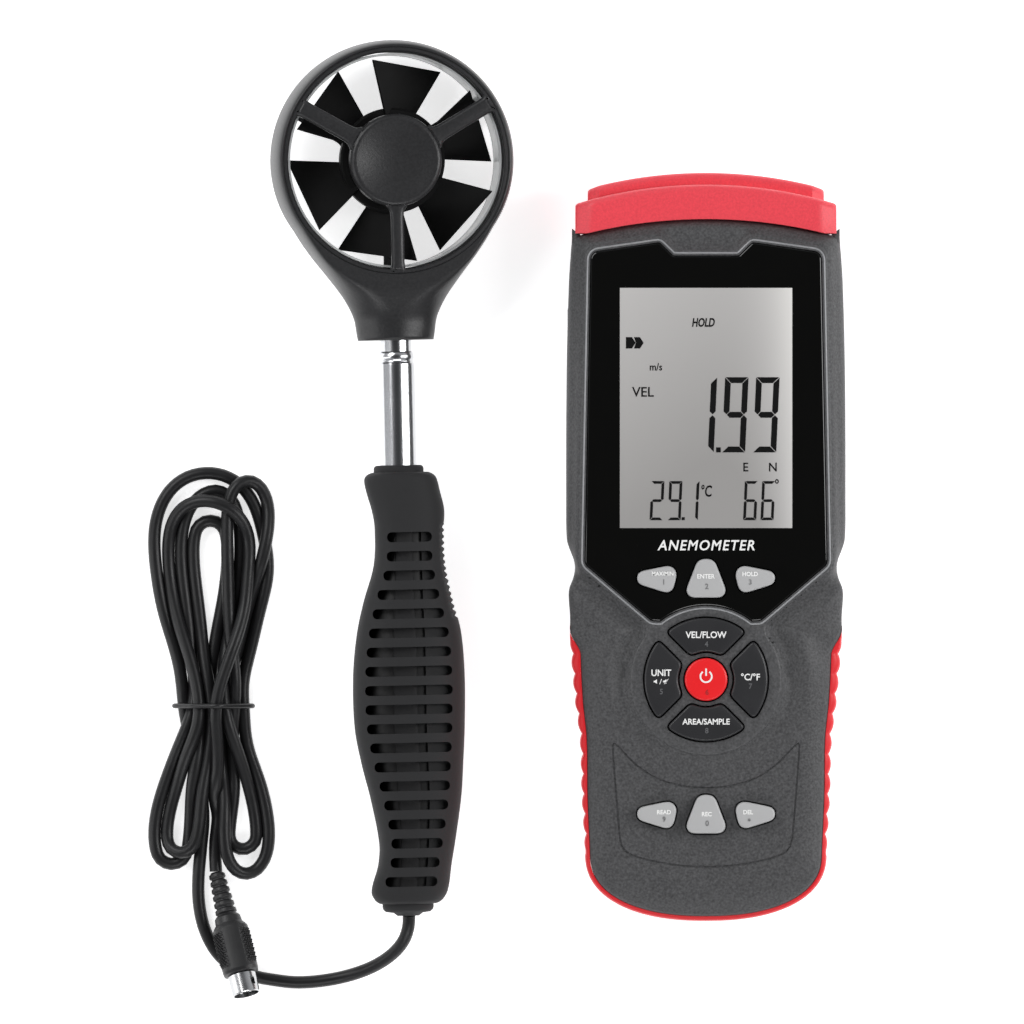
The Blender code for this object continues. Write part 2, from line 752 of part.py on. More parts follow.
def pad_key(turn):
    """A quarter of the round pad, with its sides parallel to the diagonals."""
    slack = PAD_GAP / 2
    outer = 45 - math.degrees(math.asin(slack / PAD_RADIUS))
    inner = 45 - math.degrees(math.asin(slack / PAD_INNER))
    rim = arc(PAD_RADIUS, 90 - outer, 90 + outer, 5)
    hollow = arc(PAD_INNER, 90 + inner, 90 - inner, 4)
    points = rounded(rim + hollow, [1.7, 0, 0, 0, 1.7, 0.8, 0, 0, 0.8], 1)
    spin = Matrix.Rotation(math.radians(turn), 2)
    return [tuple(spin @ Vector(point)) for point in points]


def key_layout():
    """Every key by name: its outline on the meter and its finish's slot."""
    keys = {}
    rows = (
        (("max_min_key", "enter_key", "hold_key"), PAD_Y + UPPER_KEYS_RISE),
        (("read_key", "record_key", "delete_key"), PAD_Y - LOWER_KEYS_DROP),
    )
    for (left, middle, right), y in rows:
        keys[left] = (shifted(side_key(-1), -SIDE_KEY_OFFSET, y), "grey_key")
        keys[middle] = (shifted(middle_key(), 0, y), "grey_key")
        keys[right] = (shifted(side_key(1), SIDE_KEY_OFFSET, y), "grey_key")
    for name, turn in (("vel_flow_key", 0), ("unit_key", 90), ("area_key", 180), ("temp_unit_key", 270)):
        keys[name] = (shifted(pad_key(turn), 0, PAD_Y), "dark_key")
    keys["power_key"] = (circle(POWER_RADIUS, 16, (0, PAD_Y)), "red_key")
    return keys


def middle_of(points):
    return (sum(x for x, _ in points) / len(points), sum(y for _, y in points) / len(points))


# --- meter ---------------------------------------------------------------------------------
def screw_places():
    half = METER_WIDTH / 2
    return [(side * (half - SCREW_INSET - 4 * (y < 100)), y) for y in SCREW_ROWS for side in (-1, 1)]


def post_clearances(name):
    """Cutters that let the screw posts pass through a sheet or board."""
    radius = SCREW_RADIUS + BOSS_WALL + POST_CLEARANCE
    return [
        rod(f"{name}_post_hole_{i}", radius, 0, METER_DEPTH, at, sides=12)
        for i, at in enumerate(screw_places())
    ]


def port_hole(clearance):
    """The recess in the left side for the port cover."""
    size = (2 * PORT_THICKNESS + 6, PORT_LENGTH + 2 * clearance, PORT_HEIGHT + 2 * clearance)
    return box("port_hole", size, (-METER_WIDTH / 2, PORT_Y, PORT_Z))


def make_front_case(finish, keys):
    """The front half: a face with the window's seat and key holes, side walls and screw posts."""
    case = prism("front_case", [case_outline()], PARTING_Z + GAP, METER_DEPTH, finish)
    round_edges(case, METER_DEPTH, EDGE_ROUND, 2)
    cut(case, prism("front_hollow", [case_outline(WALL)], PARTING_Z - 1, FACE_UNDER))
    ring = [circle(PAD_RING[1], 28, (0, PAD_Y)), circle(PAD_RING[0], 28, (0, PAD_Y))]
    join(case, prism("pad_ring", ring, METER_DEPTH - 0.5, METER_DEPTH + PAD_RING_HEIGHT))
    screw_end = SCREW_HEAD_RECESS + SCREW_HEAD + GAP + SCREW_LENGTH + GAP
    post = SCREW_RADIUS + BOSS_WALL
    for i, at in enumerate(screw_places()):
        join(case, rod(f"front_post_{i}", post, PARTING_Z + GAP, FACE_UNDER + 0.5, at, sides=16))
        cut(case, rod(f"post_hole_{i}", SCREW_RADIUS + PLAY, 0, screw_end, at, sides=12))
    cut(case, prism("window_seat", [window_outline(GAP)], METER_DEPTH - WINDOW_SEAT, METER_DEPTH + 2))
    lcd_y = METER_LENGTH - LCD_TOP - LCD_LENGTH / 2
    cut(case, box("lcd_hole", (LCD_WIDTH + 1, LCD_LENGTH + 1, 8), (0, lcd_y, METER_DEPTH - 2)))
    for name, (outline, _) in keys.items():
        cut(case, prism(name + "_hole", [offset(outline, GAP)], FACE_UNDER - 2, METER_DEPTH + 3))
    cut(case, port_hole(GAP))
    return case


def make_rear_case(finish):
    """The rear half: a tray with the battery door's opening and counterbored screw posts."""
    case = prism("rear_case", [case_outline()], 0, PARTING_Z, finish)
    round_edges(case, 0, BACK_ROUND)
    cut(case, prism("rear_hollow", [case_outline(WALL)], WALL, PARTING_Z + 1))
    seat = SCREW_HEAD_RECESS + SCREW_HEAD + GAP
    post = SCREW_HEAD_RADIUS + GAP + HEAD_POST_WALL
    for i, at in enumerate(screw_places()):
        join(case, rod(f"rear_post_{i}", post, WALL - 0.5, PARTING_Z, at, sides=16))
        cut(case, rod(f"head_hole_{i}", SCREW_HEAD_RADIUS + GAP, -1, seat, at, sides=16))
        cut(case, rod(f"shank_hole_{i}", SCREW_RADIUS + PLAY, 0, PARTING_Z + 1, at, sides=12))
    width, length = door_size()
    opening = (width + 2 * GAP, length + 2 * GAP + 40, 2 * WALL + 2)
    cut(case, box("door_hole", opening, (0, door_middle() - 20, 0)))
    cut(case, port_hole(GAP))
    return case


def door_size():
    """Width and length of the battery door, which runs out through the lower end."""
    return BATTERY[0] + 2 * DOOR_SIDE_MARGIN, BATTERY_Y + BATTERY[1] / 2 + DOOR_SIDE_MARGIN - DOOR_END_INSET


def door_middle():
    return DOOR_END_INSET + door_size()[1] / 2


def make_meter(slots):
    keys = key_layout()
    make_front_case(slots["case_plastic"], keys)
    make_rear_case(slots["case_plastic"])
    prism("side_grip", [grip_outline()], GRIP_Z[0], GRIP_Z[1], slots["red_rubber"])
    make_cap(slots["red_rubber"])
    window = prism(
        "display_window",
        [window_outline()],
        METER_DEPTH - WINDOW_SEAT + GAP,
        METER_DEPTH - WINDOW_SEAT + GAP + WINDOW_THICKNESS,
        slots["window_lens"],
    )
    for name in ("max_min_key", "enter_key", "hold_key"):
        hole = [offset(keys[name][0], GAP)]
        cut(window, prism(name + "_window_hole", hole, METER_DEPTH - 4, METER_DEPTH + 4))
    make_display(slots)
    make_keys(slots, keys)
    make_internals(slots)
    make_ports(slots)


def make_cap(finish):
    """The two-tier end cap, hollow towards the case."""
    apex = METER_LENGTH - CAP_STEP
    cap = prism("top_cap", [cap_tier(CAP_LOWER_WIDTH, apex)], CAP_LOWER_Z[0], CAP_LOWER_Z[1], finish)
    round_edges(cap, CAP_LOWER_Z[1], CAP_ROUND)
    join(cap, prism("cap_upper_tier", [cap_tier(CAP_UPPER_WIDTH, METER_LENGTH)], *CAP_UPPER_Z))
    hollow = cap_tier(CAP_UPPER_WIDTH - 2 * CAP_WALL, METER_LENGTH - CAP_WALL)
    cut(cap, prism("cap_hollow", [hollow], CAP_UPPER_Z[0] + CAP_WALL, CAP_UPPER_Z[1] - CAP_WALL))
    below = seam(METER_WIDTH / 2, 0)
    foot = SEAM_Y - 2 * CAP_SEAM
    block = below + mirrored(below)[1:] + [(-METER_WIDTH, foot), (METER_WIDTH, foot)]
    cut(cap, prism("cap_foot_cut", [block], -5, METER_DEPTH + 5))


def make_display(slots):
    """The LCD's glass under the face and its backlight below."""
    y = METER_LENGTH - LCD_TOP - LCD_LENGTH / 2
    size = (LCD_WIDTH + 2 * LCD_BORDER, LCD_LENGTH + LCD_BORDER)
    box("lcd_glass", (*size, LCD_GLASS), (0, y, GLASS_TOP - LCD_GLASS / 2), slots["lcd"])
    box("lcd_backlight", (*size, BACKLIGHT), (0, y, BACKLIGHT_TOP - BACKLIGHT / 2), slots["lcd"])


def make_keys(slots, keys):
    """Each key: a cap through its hole, and a flange that holds it under the face."""
    sheet_low = BOARD_TOP + GAP
    corner = METER_WIDTH / 2 - WALL - 10
    top = PAD_Y + UPPER_KEYS_RISE + MIDDLE_KEY[1] / 2
    low = PAD_Y - LOWER_KEYS_DROP - MIDDLE_KEY[1] / 2 - 4
    field = rounded([(-corner, low), (corner, low), (corner, top), (-corner, top)], 6)
    rubber = slots["soft_rubber"]
    sheet = prism("keypad_sheet", [field], sheet_low, sheet_low + KEYPAD_SHEET, rubber)
    cut(sheet, *post_clearances("keypad"))
    for name, (outline, slot) in keys.items():
        key = prism(name, [outline], FLANGE_TOP - 0.4, KEY_TOP, slots[slot])
        round_edges(key, KEY_TOP, 0.6)
        wider = offset(outline, KEY_FLANGE)
        join(key, prism(name + "_flange", [wider], FLANGE_BASE, FLANGE_TOP))
        boss = rod(name + "_boss", BOSS_RADIUS, sheet_low + 0.5, BOSS_TOP, middle_of(outline), sides=10)
        join(sheet, boss)


def make_internals(slots):
    """The main board, buzzer, battery, battery door and case screws."""
    inside = case_outline(WALL + BOARD_MARGIN)
    outline = [point for point in inside if BOARD_END < point[1] < SEAM_Y - BOARD_END]
    board = prism("main_board", [outline], BOARD_TOP - BOARD, BOARD_TOP, slots["circuit_board"])
    cut(board, *post_clearances("board"))
    low = BOARD_TOP - BOARD - GAP
    buzzer_at = (BUZZER_OFFSET[0], PAD_Y + BUZZER_OFFSET[1])
    rod("buzzer", BUZZER[0], low - BUZZER[1], low, buzzer_at, slots["black_plastic"])
    floor = WALL + GAP + BATTERY_PAD
    box("battery", BATTERY, (0, BATTERY_Y, floor + BATTERY[2] / 2), slots["battery_can"])
    width, length = door_size()
    box("battery_door", (width, length, WALL), (0, door_middle(), WALL / 2), slots["case_plastic"])
    for i, at in enumerate(screw_places()):
        low, high = SCREW_HEAD_RECESS, SCREW_HEAD_RECESS + SCREW_HEAD
        name = f"case_screw_{i + 1}"
        screw = rod(name, SCREW_HEAD_RADIUS, low, high, at, slots["steel"], sides=16)
        shank = (high - 0.3, high + SCREW_LENGTH)
        join(screw, rod(f"screw_shank_{i}", SCREW_RADIUS, *shank, at, sides=12))


def make_ports(slots):
    """The two sockets in the left side, and the soft cover over them."""
    side = -METER_WIDTH / 2
    inner = side + PORT_THICKNESS + WALL
    deep = inner + SOCKET_DEPTH
    along_x = METER @ Matrix.Rotation(math.radians(90), 4, "Y")
    at = (-PORT_Z, PORT_Y + SOCKET_SPREAD)
    socket = rod("probe_socket", SOCKET_RADIUS, inner, deep, at, slots["black_plastic"], along_x)
    cut(socket, rod("socket_bore", SOCKET_BORE, inner - 1, deep - SOCKET_FLOOR, at, None, along_x))
    usb_y = PORT_Y - SOCKET_SPREAD
    usb_x = inner + USB_SIZE[0] / 2
    usb = box("usb_socket", USB_SIZE, (usb_x, usb_y, PORT_Z), slots["steel"])
    mouth = (USB_SIZE[0], USB_SIZE[1] - 2 * USB_WALL, USB_SIZE[2] - 2 * USB_WALL)
    cut(usb, box("usb_mouth", mouth, (usb_x - USB_FLOOR, usb_y, PORT_Z)))
    size = (PORT_THICKNESS, PORT_LENGTH, PORT_HEIGHT)
    cover_x = side + PORT_THICKNESS / 2 + PORT_INSET
    box("side_port_cover", size, (cover_x, PORT_Y, PORT_Z), slots["soft_rubber"])


# --- probe ---------------------------------------------------------------------------------
def handle_section(down, inset):
    """A rounded section of the handle at a distance down from its top, moved in by inset."""
    left = between([(d, a) for d, a, _ in HANDLE_OUTLINE], down) - inset
    right = between([(d, b) for d, _, b in HANDLE_OUTLINE], down) - inset
    under = between([(d, a) for d, a, _ in HANDLE_DEPTH], down) - inset
    over = between([(d, b) for d, _, b in HANDLE_DEPTH], down) - inset
    middle = (right - left) / 2
    half = (right + left) / 2
    ring = []
    for i in range(HANDLE_SIDES):
        turn = 2 * math.pi * i / HANDLE_SIDES
        c, s = math.cos(turn), math.sin(turn)
        x = middle + half * math.copysign(abs(c) ** (2 / HANDLE_POWER), c)
        depth = over if s > 0 else under
        z = depth * math.copysign(abs(s) ** (2 / HANDLE_POWER), s)
        ring.append((x, -down, z))
    return ring


def handle_loft(name, inset, first, last, finish=None):
    """The handle's form between two distances down from its top."""
    inner = [d for d, _, _ in HANDLE_OUTLINE if first + 1.2 < d < last - 1.2]
    stations = [first] + inner + [last]
    return loft(name, [handle_section(d, inset) for d in stations], finish, PROBE)


def handle_ends():
    return HANDLE_OUTLINE[0][0], HANDLE_OUTLINE[-1][0]


def make_handle(slots):
    top, bottom = handle_ends()
    inside = (top + SLEEVE_END, bottom - SLEEVE_END)
    sleeve = handle_loft("grip_sleeve", 0, top, bottom, slots["soft_rubber"])
    cut(sleeve, handle_loft("sleeve_hollow", SLEEVE_WALL, *inside))
    slots_cutter = [slot_outline(SLOT_FIRST + SLOT_PITCH * i) for i in range(SLOT_COUNT)]
    cut(sleeve, prism("sleeve_slots", slots_cutter, 0, 40, None, PROBE))
    mast_hole = OUTER_TUBE_RADIUS + GAP
    axis = PROBE @ ALONG_Y
    tube = (OUTER_TUBE_FOOT - GAP, 10)
    cut(sleeve, rod("sleeve_top_hole", mast_hole, *tube, (0, 0), None, axis))
    cut(sleeve, rod("sleeve_end_hole", CORD_HOLE, -bottom - 4, -bottom + 4, (0, 0), None, axis))
    core_range = (inside[0] + GAP, inside[1] - GAP)
    for name, side in (("handle_core_front", 1), ("handle_core_rear", -1)):
        core = handle_loft(name, SLEEVE_WALL + GAP, *core_range, slots["black_plastic"])
        size = (80, 200, 40)
        cut(core, box(name + "_half", size, (0, -bottom / 2, -side * (20 - GAP / 2)), None, PROBE))
        cut(core, rod(name + "_bore", mast_hole, *tube, (0, 0), None, axis))
        channel = (-bottom - 5, OUTER_TUBE_FOOT + 2)
        cut(core, rod(name + "_channel", CORD_CHANNEL, *channel, (0, 0), None, axis, 12))


def slot_outline(down):
    """One of the sleeve's cross slots."""
    left = between([(d, a) for d, a, _ in HANDLE_OUTLINE], down) - SLOT_MARGIN
    right = between([(d, b) for d, _, b in HANDLE_OUTLINE], down) - SLOT_MARGIN
    high, low = SLOT_HEIGHT / 2 - down, -SLOT_HEIGHT / 2 - down
    return [(right, high), (-left, high), (-left, low), (right, low)]


def make_mast(slots):
    """The collar, both tubes and the gland, all turned about the mast's axis."""
    frame = PROBE @ ALONG_Y
    top = handle_ends()[0]
    low = -top + GAP
    high = low + COLLAR_HEIGHT
    bore = OUTER_TUBE_RADIUS + GAP
    collar = [
        (bore, high),
        (COLLAR_RADIUS - 0.8, high),
        (COLLAR_RADIUS, high - 0.8),
        (COLLAR_RADIUS, low),
        (bore, low),
    ]
    turned("mast_collar", collar, slots["soft_rubber"], frame)
    outer = OUTER_TUBE_RADIUS
    inner = INNER_TUBE_RADIUS
    neck = OUTER_TUBE_TOP - OUTER_TUBE_SWAGE
    outer_tube = [
        (inner + PLAY, OUTER_TUBE_TOP),
        (outer - SWAGE_STEP, OUTER_TUBE_TOP),
        (outer - SWAGE_STEP, neck),
        (outer, neck - 0.8),
        (outer, OUTER_TUBE_FOOT),
        (inner + PLAY, OUTER_TUBE_FOOT),
    ]
    turned("mast_outer_tube", outer_tube, slots["chrome"], frame)
    reach = NECK_FOOT + NECK_SOCKET
    tube = [
        (inner - TUBE_WALL, reach),
        (inner, reach),
        (inner, INNER_TUBE_FOOT),
        (inner - TUBE_WALL, INNER_TUBE_FOOT),
    ]
    turned("mast_inner_tube", tube, slots["chrome"], frame)
    bottom = -handle_ends()[1] - GAP
    tip = bottom - GLAND_PROUD - GLAND_TIP
    gland = [
        (CORD / 2 + GAP, bottom),
        (GLAND_RADIUS - 0.6, bottom),
        (GLAND_RADIUS - 0.9, bottom - GLAND_PROUD),
        (CORD / 2 + 0.9, tip),
        (CORD / 2 + GAP, tip),
    ]
    turned("handle_gland", gland, slots["soft_rubber"], frame, 24)


# --- vane head -----------------------------------------------------------------------------
def neck_sections():
    """Rounded sections of the neck, from its foot up into the ring."""
    sections = []
    low, high = NECK_HALF_DEPTH
    tall = NECK_TOP[0]
    for up, half in NECK_FLARE + [(tall, RING_RADIUS - NECK_TOP[1])]:
        depth = low + (high - low) * up / tall
        y = NECK_FOOT - HEAD_CENTRE + up
        ring = []
        for i in range(NECK_SIDES):
            turn = 2 * math.pi * i / NECK_SIDES
            c, s = math.cos(turn), math.sin(turn)
            x = half * math.copysign(abs(c) ** (2 / NECK_POWER), c)
            ring.append((x, y, depth * math.copysign(abs(s) ** (2 / NECK_POWER), s)))
        sections.append(ring)
    return sections


def make_head(slots):
    """The ring and neck, the duct's liner and the two guards."""
    edge = RING_HALF_DEPTH
    inside = DUCT_RADIUS - NECK_OVERLAP
    ring = [
        (inside, edge),
        (RING_EDGE_RADIUS - 1.2, edge),
        (RING_EDGE_RADIUS, edge - 1.4),
        (RING_RADIUS, edge * 0.45),
        (RING_RADIUS, -edge * 0.45),
        (RING_EDGE_RADIUS, 1.4 - edge),
        (RING_EDGE_RADIUS - 1.2, -edge),
        (inside, -edge),
    ]
    housing = turned("head_housing", ring, slots["black_plastic"], HEAD, 40)
    join(housing, loft("neck", neck_sections(), None, HEAD))
    cut(housing, rod("duct", DUCT_RADIUS, -20, 20, (0, 0), None, HEAD, 40))
    seat = edge - GUARD_SEAT_DEPTH
    for name, low, high in (("front_seat", seat, 20), ("rear_seat", -20, -seat)):
        cut(housing, rod(name, GUARD_SEAT_RADIUS + GAP, low, high, (0, 0), None, HEAD, 40))
    neck_frame = HEAD @ ALONG_Y
    foot = NECK_FOOT - HEAD_CENTRE
    socket = (foot - 5, foot + NECK_SOCKET + GAP)
    cut(housing, rod("neck_bore", INNER_TUBE_RADIUS + GAP, *socket, (0, 0), None, neck_frame))
    low = -DUCT_RADIUS - THERMISTOR_LENGTH
    hole = (low - 1, -DUCT_RADIUS + 2)
    cut(housing, rod("sensor_hole", THERMISTOR_HOLE, *hole, (0, 0), None, neck_frame, 12))
    liner_out = DUCT_RADIUS - GAP
    liner_in = liner_out - LINER_WALL
    half = LINER_HALF_DEPTH
    band = [(liner_in, half), (liner_out, half), (liner_out, -half), (liner_in, -half)]
    liner = turned("duct_liner", band, slots["liner"], HEAD, 40)
    cut(liner, rod("liner_hole", THERMISTOR_HOLE, *hole, (0, 0), None, neck_frame, 12))
    black = slots["black_plastic"]
    rod("thermistor", THERMISTOR_RADIUS, low, -DUCT_RADIUS, (0, 0), black, neck_frame, 12)
    make_guard("front_guard", 1, slots)
    make_guard("rear_guard", -1, slots)


def make_guard(name, side, slots):
    """A rim in the ring's seat, three spokes, and a hub with a pocket for the bearing."""
    black = slots["black_plastic"]
    inner = seat_level()
    outer = inner + GUARD_THICKNESS
    openings = [opening_between(turn, GUARD_SEAT_RADIUS - GUARD_RIM) for turn in SPOKE_ANGLES]
    rim = [circle(GUARD_SEAT_RADIUS, 36)] + openings
    guard = prism(name, rim, *sorted((side * inner, side * outer)), black, HEAD)
    hub_inner = outer - GUARD_HUB_DEPTH
    span = sorted((side * hub_inner, side * (outer + GUARD_HUB_PROUD)))
    join(guard, rod(name + "_hub", GUARD_HUB_RADIUS, *span, (0, 0), None, HEAD, 24))
    pocket = sorted((side * (hub_inner - 3), side * (hub_inner + BEARING_WIDTH + GAP)))
    cut(guard, rod(name + "_pocket", BEARING_RADIUS + PLAY, *pocket, (0, 0), None, HEAD, 16))
    if side < 0:
        middle = side * (hub_inner - SENSOR[2] / 2 + SENSOR_PROUD)
        size = [length + 2 * GAP for length in SENSOR]
        cut(guard, box("sensor_pocket", size, (SENSOR_OFFSET, 0, middle), None, HEAD))
        place_at = (SENSOR_OFFSET, 0, middle + GAP / 2)
        box("pickup_sensor", SENSOR, place_at, slots["circuit_board"], HEAD)
    width = sorted((side * hub_inner, side * (hub_inner + BEARING_WIDTH)))
    bearing_name = "bearing_front" if side > 0 else "bearing_rear"
    bearing = rod(bearing_name, BEARING_RADIUS, *width, (0, 0), slots["steel"], HEAD, 16)
    bore = SHAFT_RADIUS + PLAY
    cut(bearing, rod(name + "_bearing_bore", bore, -20, 20, (0, 0), None, HEAD, 12))


def seat_level():
    """Height of the guards' inner faces above the middle of the ring."""
    return RING_HALF_DEPTH - GUARD_SEAT_DEPTH + GAP


def opening_between(turn, radius):
    """One of the guard's three openings: a sector between this spoke and the next."""
    half = SPOKE_WIDTH / 2
    hub = GUARD_HUB_RADIUS - 0.5
    step = 360 / len(SPOKE_ANGLES)
    outer = math.degrees(math.asin(half / radius))
    inner = math.degrees(math.asin(half / hub))
    rim = arc(radius, turn + outer, turn + step - outer, 11)
    back = arc(hub, turn + step - inner, turn + inner, 6)
    return rounded(rim + back, [2.0] + [0] * 9 + [2.0, 1.5] + [0] * 4 + [1.5], 1)


def make_impeller(slots):
    """The hub disc with its flat pitched blades, and the shaft through it."""
    hub = [
        (0, HUB_HALF_DEPTH),
        (HUB_RADIUS - 1, HUB_HALF_DEPTH),
        (HUB_RADIUS, HUB_HALF_DEPTH - 1),
        (HUB_RADIUS, 1 - HUB_HALF_DEPTH),
        (HUB_RADIUS - 1, -HUB_HALF_DEPTH),
        (0, -HUB_HALF_DEPTH),
    ]
    impeller = turned("impeller", hub, slots["black_plastic"], HEAD, 32)
    root = HUB_RADIUS - BLADE_ROOT_INSET
    spread = BLADE_TIP_WIDTH / 2 * math.cos(math.radians(BLADE_PITCH))
    tip = math.sqrt(BLADE_TIP_RADIUS**2 - spread**2)
    outline = [
        (root, -BLADE_ROOT_WIDTH / 2),
        (tip, -BLADE_TIP_WIDTH / 2),
        (tip, BLADE_TIP_WIDTH / 2),
        (root, BLADE_ROOT_WIDTH / 2),
    ]
    faces = (-BLADE_THICKNESS / 2, BLADE_THICKNESS / 2)
    pitch = Matrix.Rotation(math.radians(BLADE_PITCH), 4, "X")
    for i in range(BLADE_COUNT):
        turn = math.radians(BLADE_FIRST + i * 360 / BLADE_COUNT)
        frame = HEAD @ Matrix.Rotation(turn, 4, "Z") @ pitch
        join(impeller, prism(f"blade_{i}", [outline], *faces, None, frame))
    cut(impeller, rod("impeller_bore", SHAFT_RADIUS + PLAY, -10, 10, (0, 0), None, HEAD, 12))
    shaft = (-SHAFT_HALF_LENGTH, SHAFT_HALF_LENGTH)
    rod("impeller_shaft", SHAFT_RADIUS, *shaft, (0, 0), slots["steel"], HEAD, 12)


# --- cord and plug -------------------------------------------------------------------------
def smooth_path(route, spacing):
    """Evenly spaced points on a smooth curve through the route's points."""
    points = [Vector(point) for point in route]
    ends = [points[0] * 2 - points[1]] + points + [points[-1] * 2 - points[-2]]
    fine = []
    for a, b, c, d in zip(ends, ends[1:], ends[2:], ends[3:]):
        square = 2 * a - 5 * b + 4 * c - d
        cubic = 3 * b - a - 3 * c + d
        for i in range(16):
            t = i / 16
            fine.append(b + ((c - a) * t + square * t**2 + cubic * t**3) / 2)
    fine.append(points[-1])
    lengths = [0.0]
    for a, b in zip(fine, fine[1:]):
        lengths.append(lengths[-1] + (b - a).length)
    count = max(3, round(lengths[-1] / spacing) + 1)
    path = []
    k = 0
    for i in range(count):
        want = lengths[-1] * i / (count - 1)
        while k < len(fine) - 2 and lengths[k + 1] < want:
            k += 1
        share = (want - lengths[k]) / max(lengths[k + 1] - lengths[k], 1e-9)
        path.append(tuple(fine[k].lerp(fine[k + 1], min(share, 1.0))))
    return path


def hank_outline():
    """The hank's outer shape: a round head, a waist at the tie and two lobes below."""
    head_x, head_y, head_r = HANK_HEAD
    (left_x, left_y, left_r), (right_x, right_y, right_r) = HANK_LOBES
    waist = HANK_WAIST / 2
    crown = arc(head_r, 15, 165, 9, (head_x, head_y))
    left = arc(left_r, 180, 355, 8, (left_x, left_y + left_r))
    right = arc(right_r, 185, 360, 8, (right_x, right_y + right_r))
    fork = [(x, HANK_FORK_Y) for x in HANK_FORK]
    side = [
        (head_r - HANK_TAPER, head_y - head_r + HANK_TAPER),
        (waist, HANK_TIE_Y + HANK_WAIST_REACH),
        (waist, HANK_TIE_Y - HANK_WAIST_REACH),
    ]
    left_side = [(head_x - x, y) for x, y in side]
    right_side = [(head_x + x, y) for x, y in reversed(side)]
    return crown + left_side + left + fork + right + right_side


def make_cord(slots):
    """The free lead, the hank with its tie, and the tail that ends in the plug."""
    pvc = slots["cord_pvc"]
    wire("cord_lead", smooth_path(LEAD_ROUTE, 2.4 * CORD), CORD / 2, pvc)
    wire("cord_tail", smooth_path(TAIL_ROUTE, 1.2 * CORD), CORD / 2, pvc)
    table = Matrix.Identity(4)
    hank = prism("cord_hank", [hank_outline()], 0, HANK_HEIGHT, pvc, table)
    width = HANK_WAIST - TIE_CORE_MARGIN
    base = TIE_THICKNESS + 2 * GAP
    height = TIE_PINCH - base
    centre = (HANK_HEAD[0], HANK_TIE_Y, (TIE_PINCH + base) / 2)
    across = (4 * HANK_WAIST, TIE_WIDTH + 2 * GAP, 4 * HANK_HEIGHT)
    groove = box("tie_groove", across, centre, None, table)
    cut(groove, box("tie_core", (width, TIE_WIDTH + 4, height), centre, None, table))
    cut(hank, groove)
    hole = (width + 2 * GAP, TIE_WIDTH + 4, height + 2 * GAP)
    outer = (hole[0] + 2 * TIE_THICKNESS, TIE_WIDTH, hole[2] + 2 * TIE_THICKNESS)
    tie = box("cord_tie", outer, centre, slots["soft_rubber"], table)
    cut(tie, box("tie_hole", hole, centre, None, table))


def plug_frame():
    """+Z along the plug, from the cord's end to its nose."""
    turn = math.radians(PLUG_TURN)
    rise = math.radians(PLUG_RISE)
    nose = Vector((math.sin(turn) * math.cos(rise), -math.cos(turn) * math.cos(rise), math.sin(rise)))
    across = nose.cross(Vector((0, 0, 1))).normalized()
    up = across.cross(nose)
    frame = Matrix((across, up, nose)).transposed().to_4x4()
    frame.translation = Vector(PLUG_FOOT) * MM
    return frame


def make_plug(slots):
    """The ribbed strain relief, the body, the metal shell and the pins."""
    frame = plug_frame()
    pitch = RELIEF_LENGTH / RELIEF_RIBS
    slope = (RELIEF_RADII[1] - RELIEF_RADII[0]) / RELIEF_RIBS
    profile = [(0, RELIEF_LENGTH)]
    for i in reversed(range(RELIEF_RIBS)):
        rib = RELIEF_RADII[0] + slope * (i + 0.9)
        groove = RELIEF_RADII[0] + slope * (i + 0.1) - RELIEF_GROOVE
        top = pitch * (i + 1)
        profile += [(rib, top), (rib, top - pitch * 0.55)]
        profile += [(groove, top - pitch * 0.6), (groove, top - pitch + 0.02)]
    profile += [(0, 0)]
    turned("plug_strain_relief", profile, slots["cord_pvc"], frame, 12)
    foot = RELIEF_LENGTH + GAP
    shoulder = foot + PLUG_COLLAR
    nose = shoulder + PLUG_BODY_LENGTH
    r = PLUG_BODY_RADIUS
    body = [
        (0, nose),
        (r - 0.6, nose),
        (r, nose - 0.6),
        (r, shoulder + 0.8),
        (r - 0.8, shoulder),
        (r - 1.3, shoulder),
        (r - 1.5, foot),
        (0, foot),
    ]
    turned("plug_body", body, slots["black_plastic"], frame, 20)
    low = nose + GAP
    high = low + SHELL_LENGTH
    wall = SHELL_RADIUS - SHELL_WALL
    shell = [(wall, high), (SHELL_RADIUS, high), (SHELL_RADIUS, low), (wall, low)]
    turned("plug_shell", shell, slots["chrome"], frame, 24)
    black = slots["black_plastic"]
    floor = low + INSERT_THICKNESS
    insert = rod("plug_insert", wall - GAP, low, floor, (0, 0), black, frame, 20)
    for i in range(PIN_COUNT):
        turn = 2 * math.pi * (i + 0.5) / PIN_COUNT
        at = (PIN_CIRCLE * math.cos(turn), PIN_CIRCLE * math.sin(turn))
        join(insert, rod(f"pin_{i}", PIN_RADIUS, low + 1, high - 0.8, at, None, frame, 8))


def main():
    clear_scene()
    slots = finishes()
    make_meter(slots)
    make_handle(slots)
    make_mast(slots)
    make_head(slots)
    make_impeller(slots)
    make_cord(slots)
    make_plug(slots)


main()
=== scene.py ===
"""Vane anemometer: a hand-held meter and its corded vane probe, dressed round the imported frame.

Sizes are in millimetres and become metres where a mesh is made. Every new piece is a surface worked
out with numpy, its object sits at the origin, and it rides on the body of the node it stands for.
"""

import json
import logging
import math
from collections.abc import Sequence
from dataclasses import dataclass, field
from enum import Enum

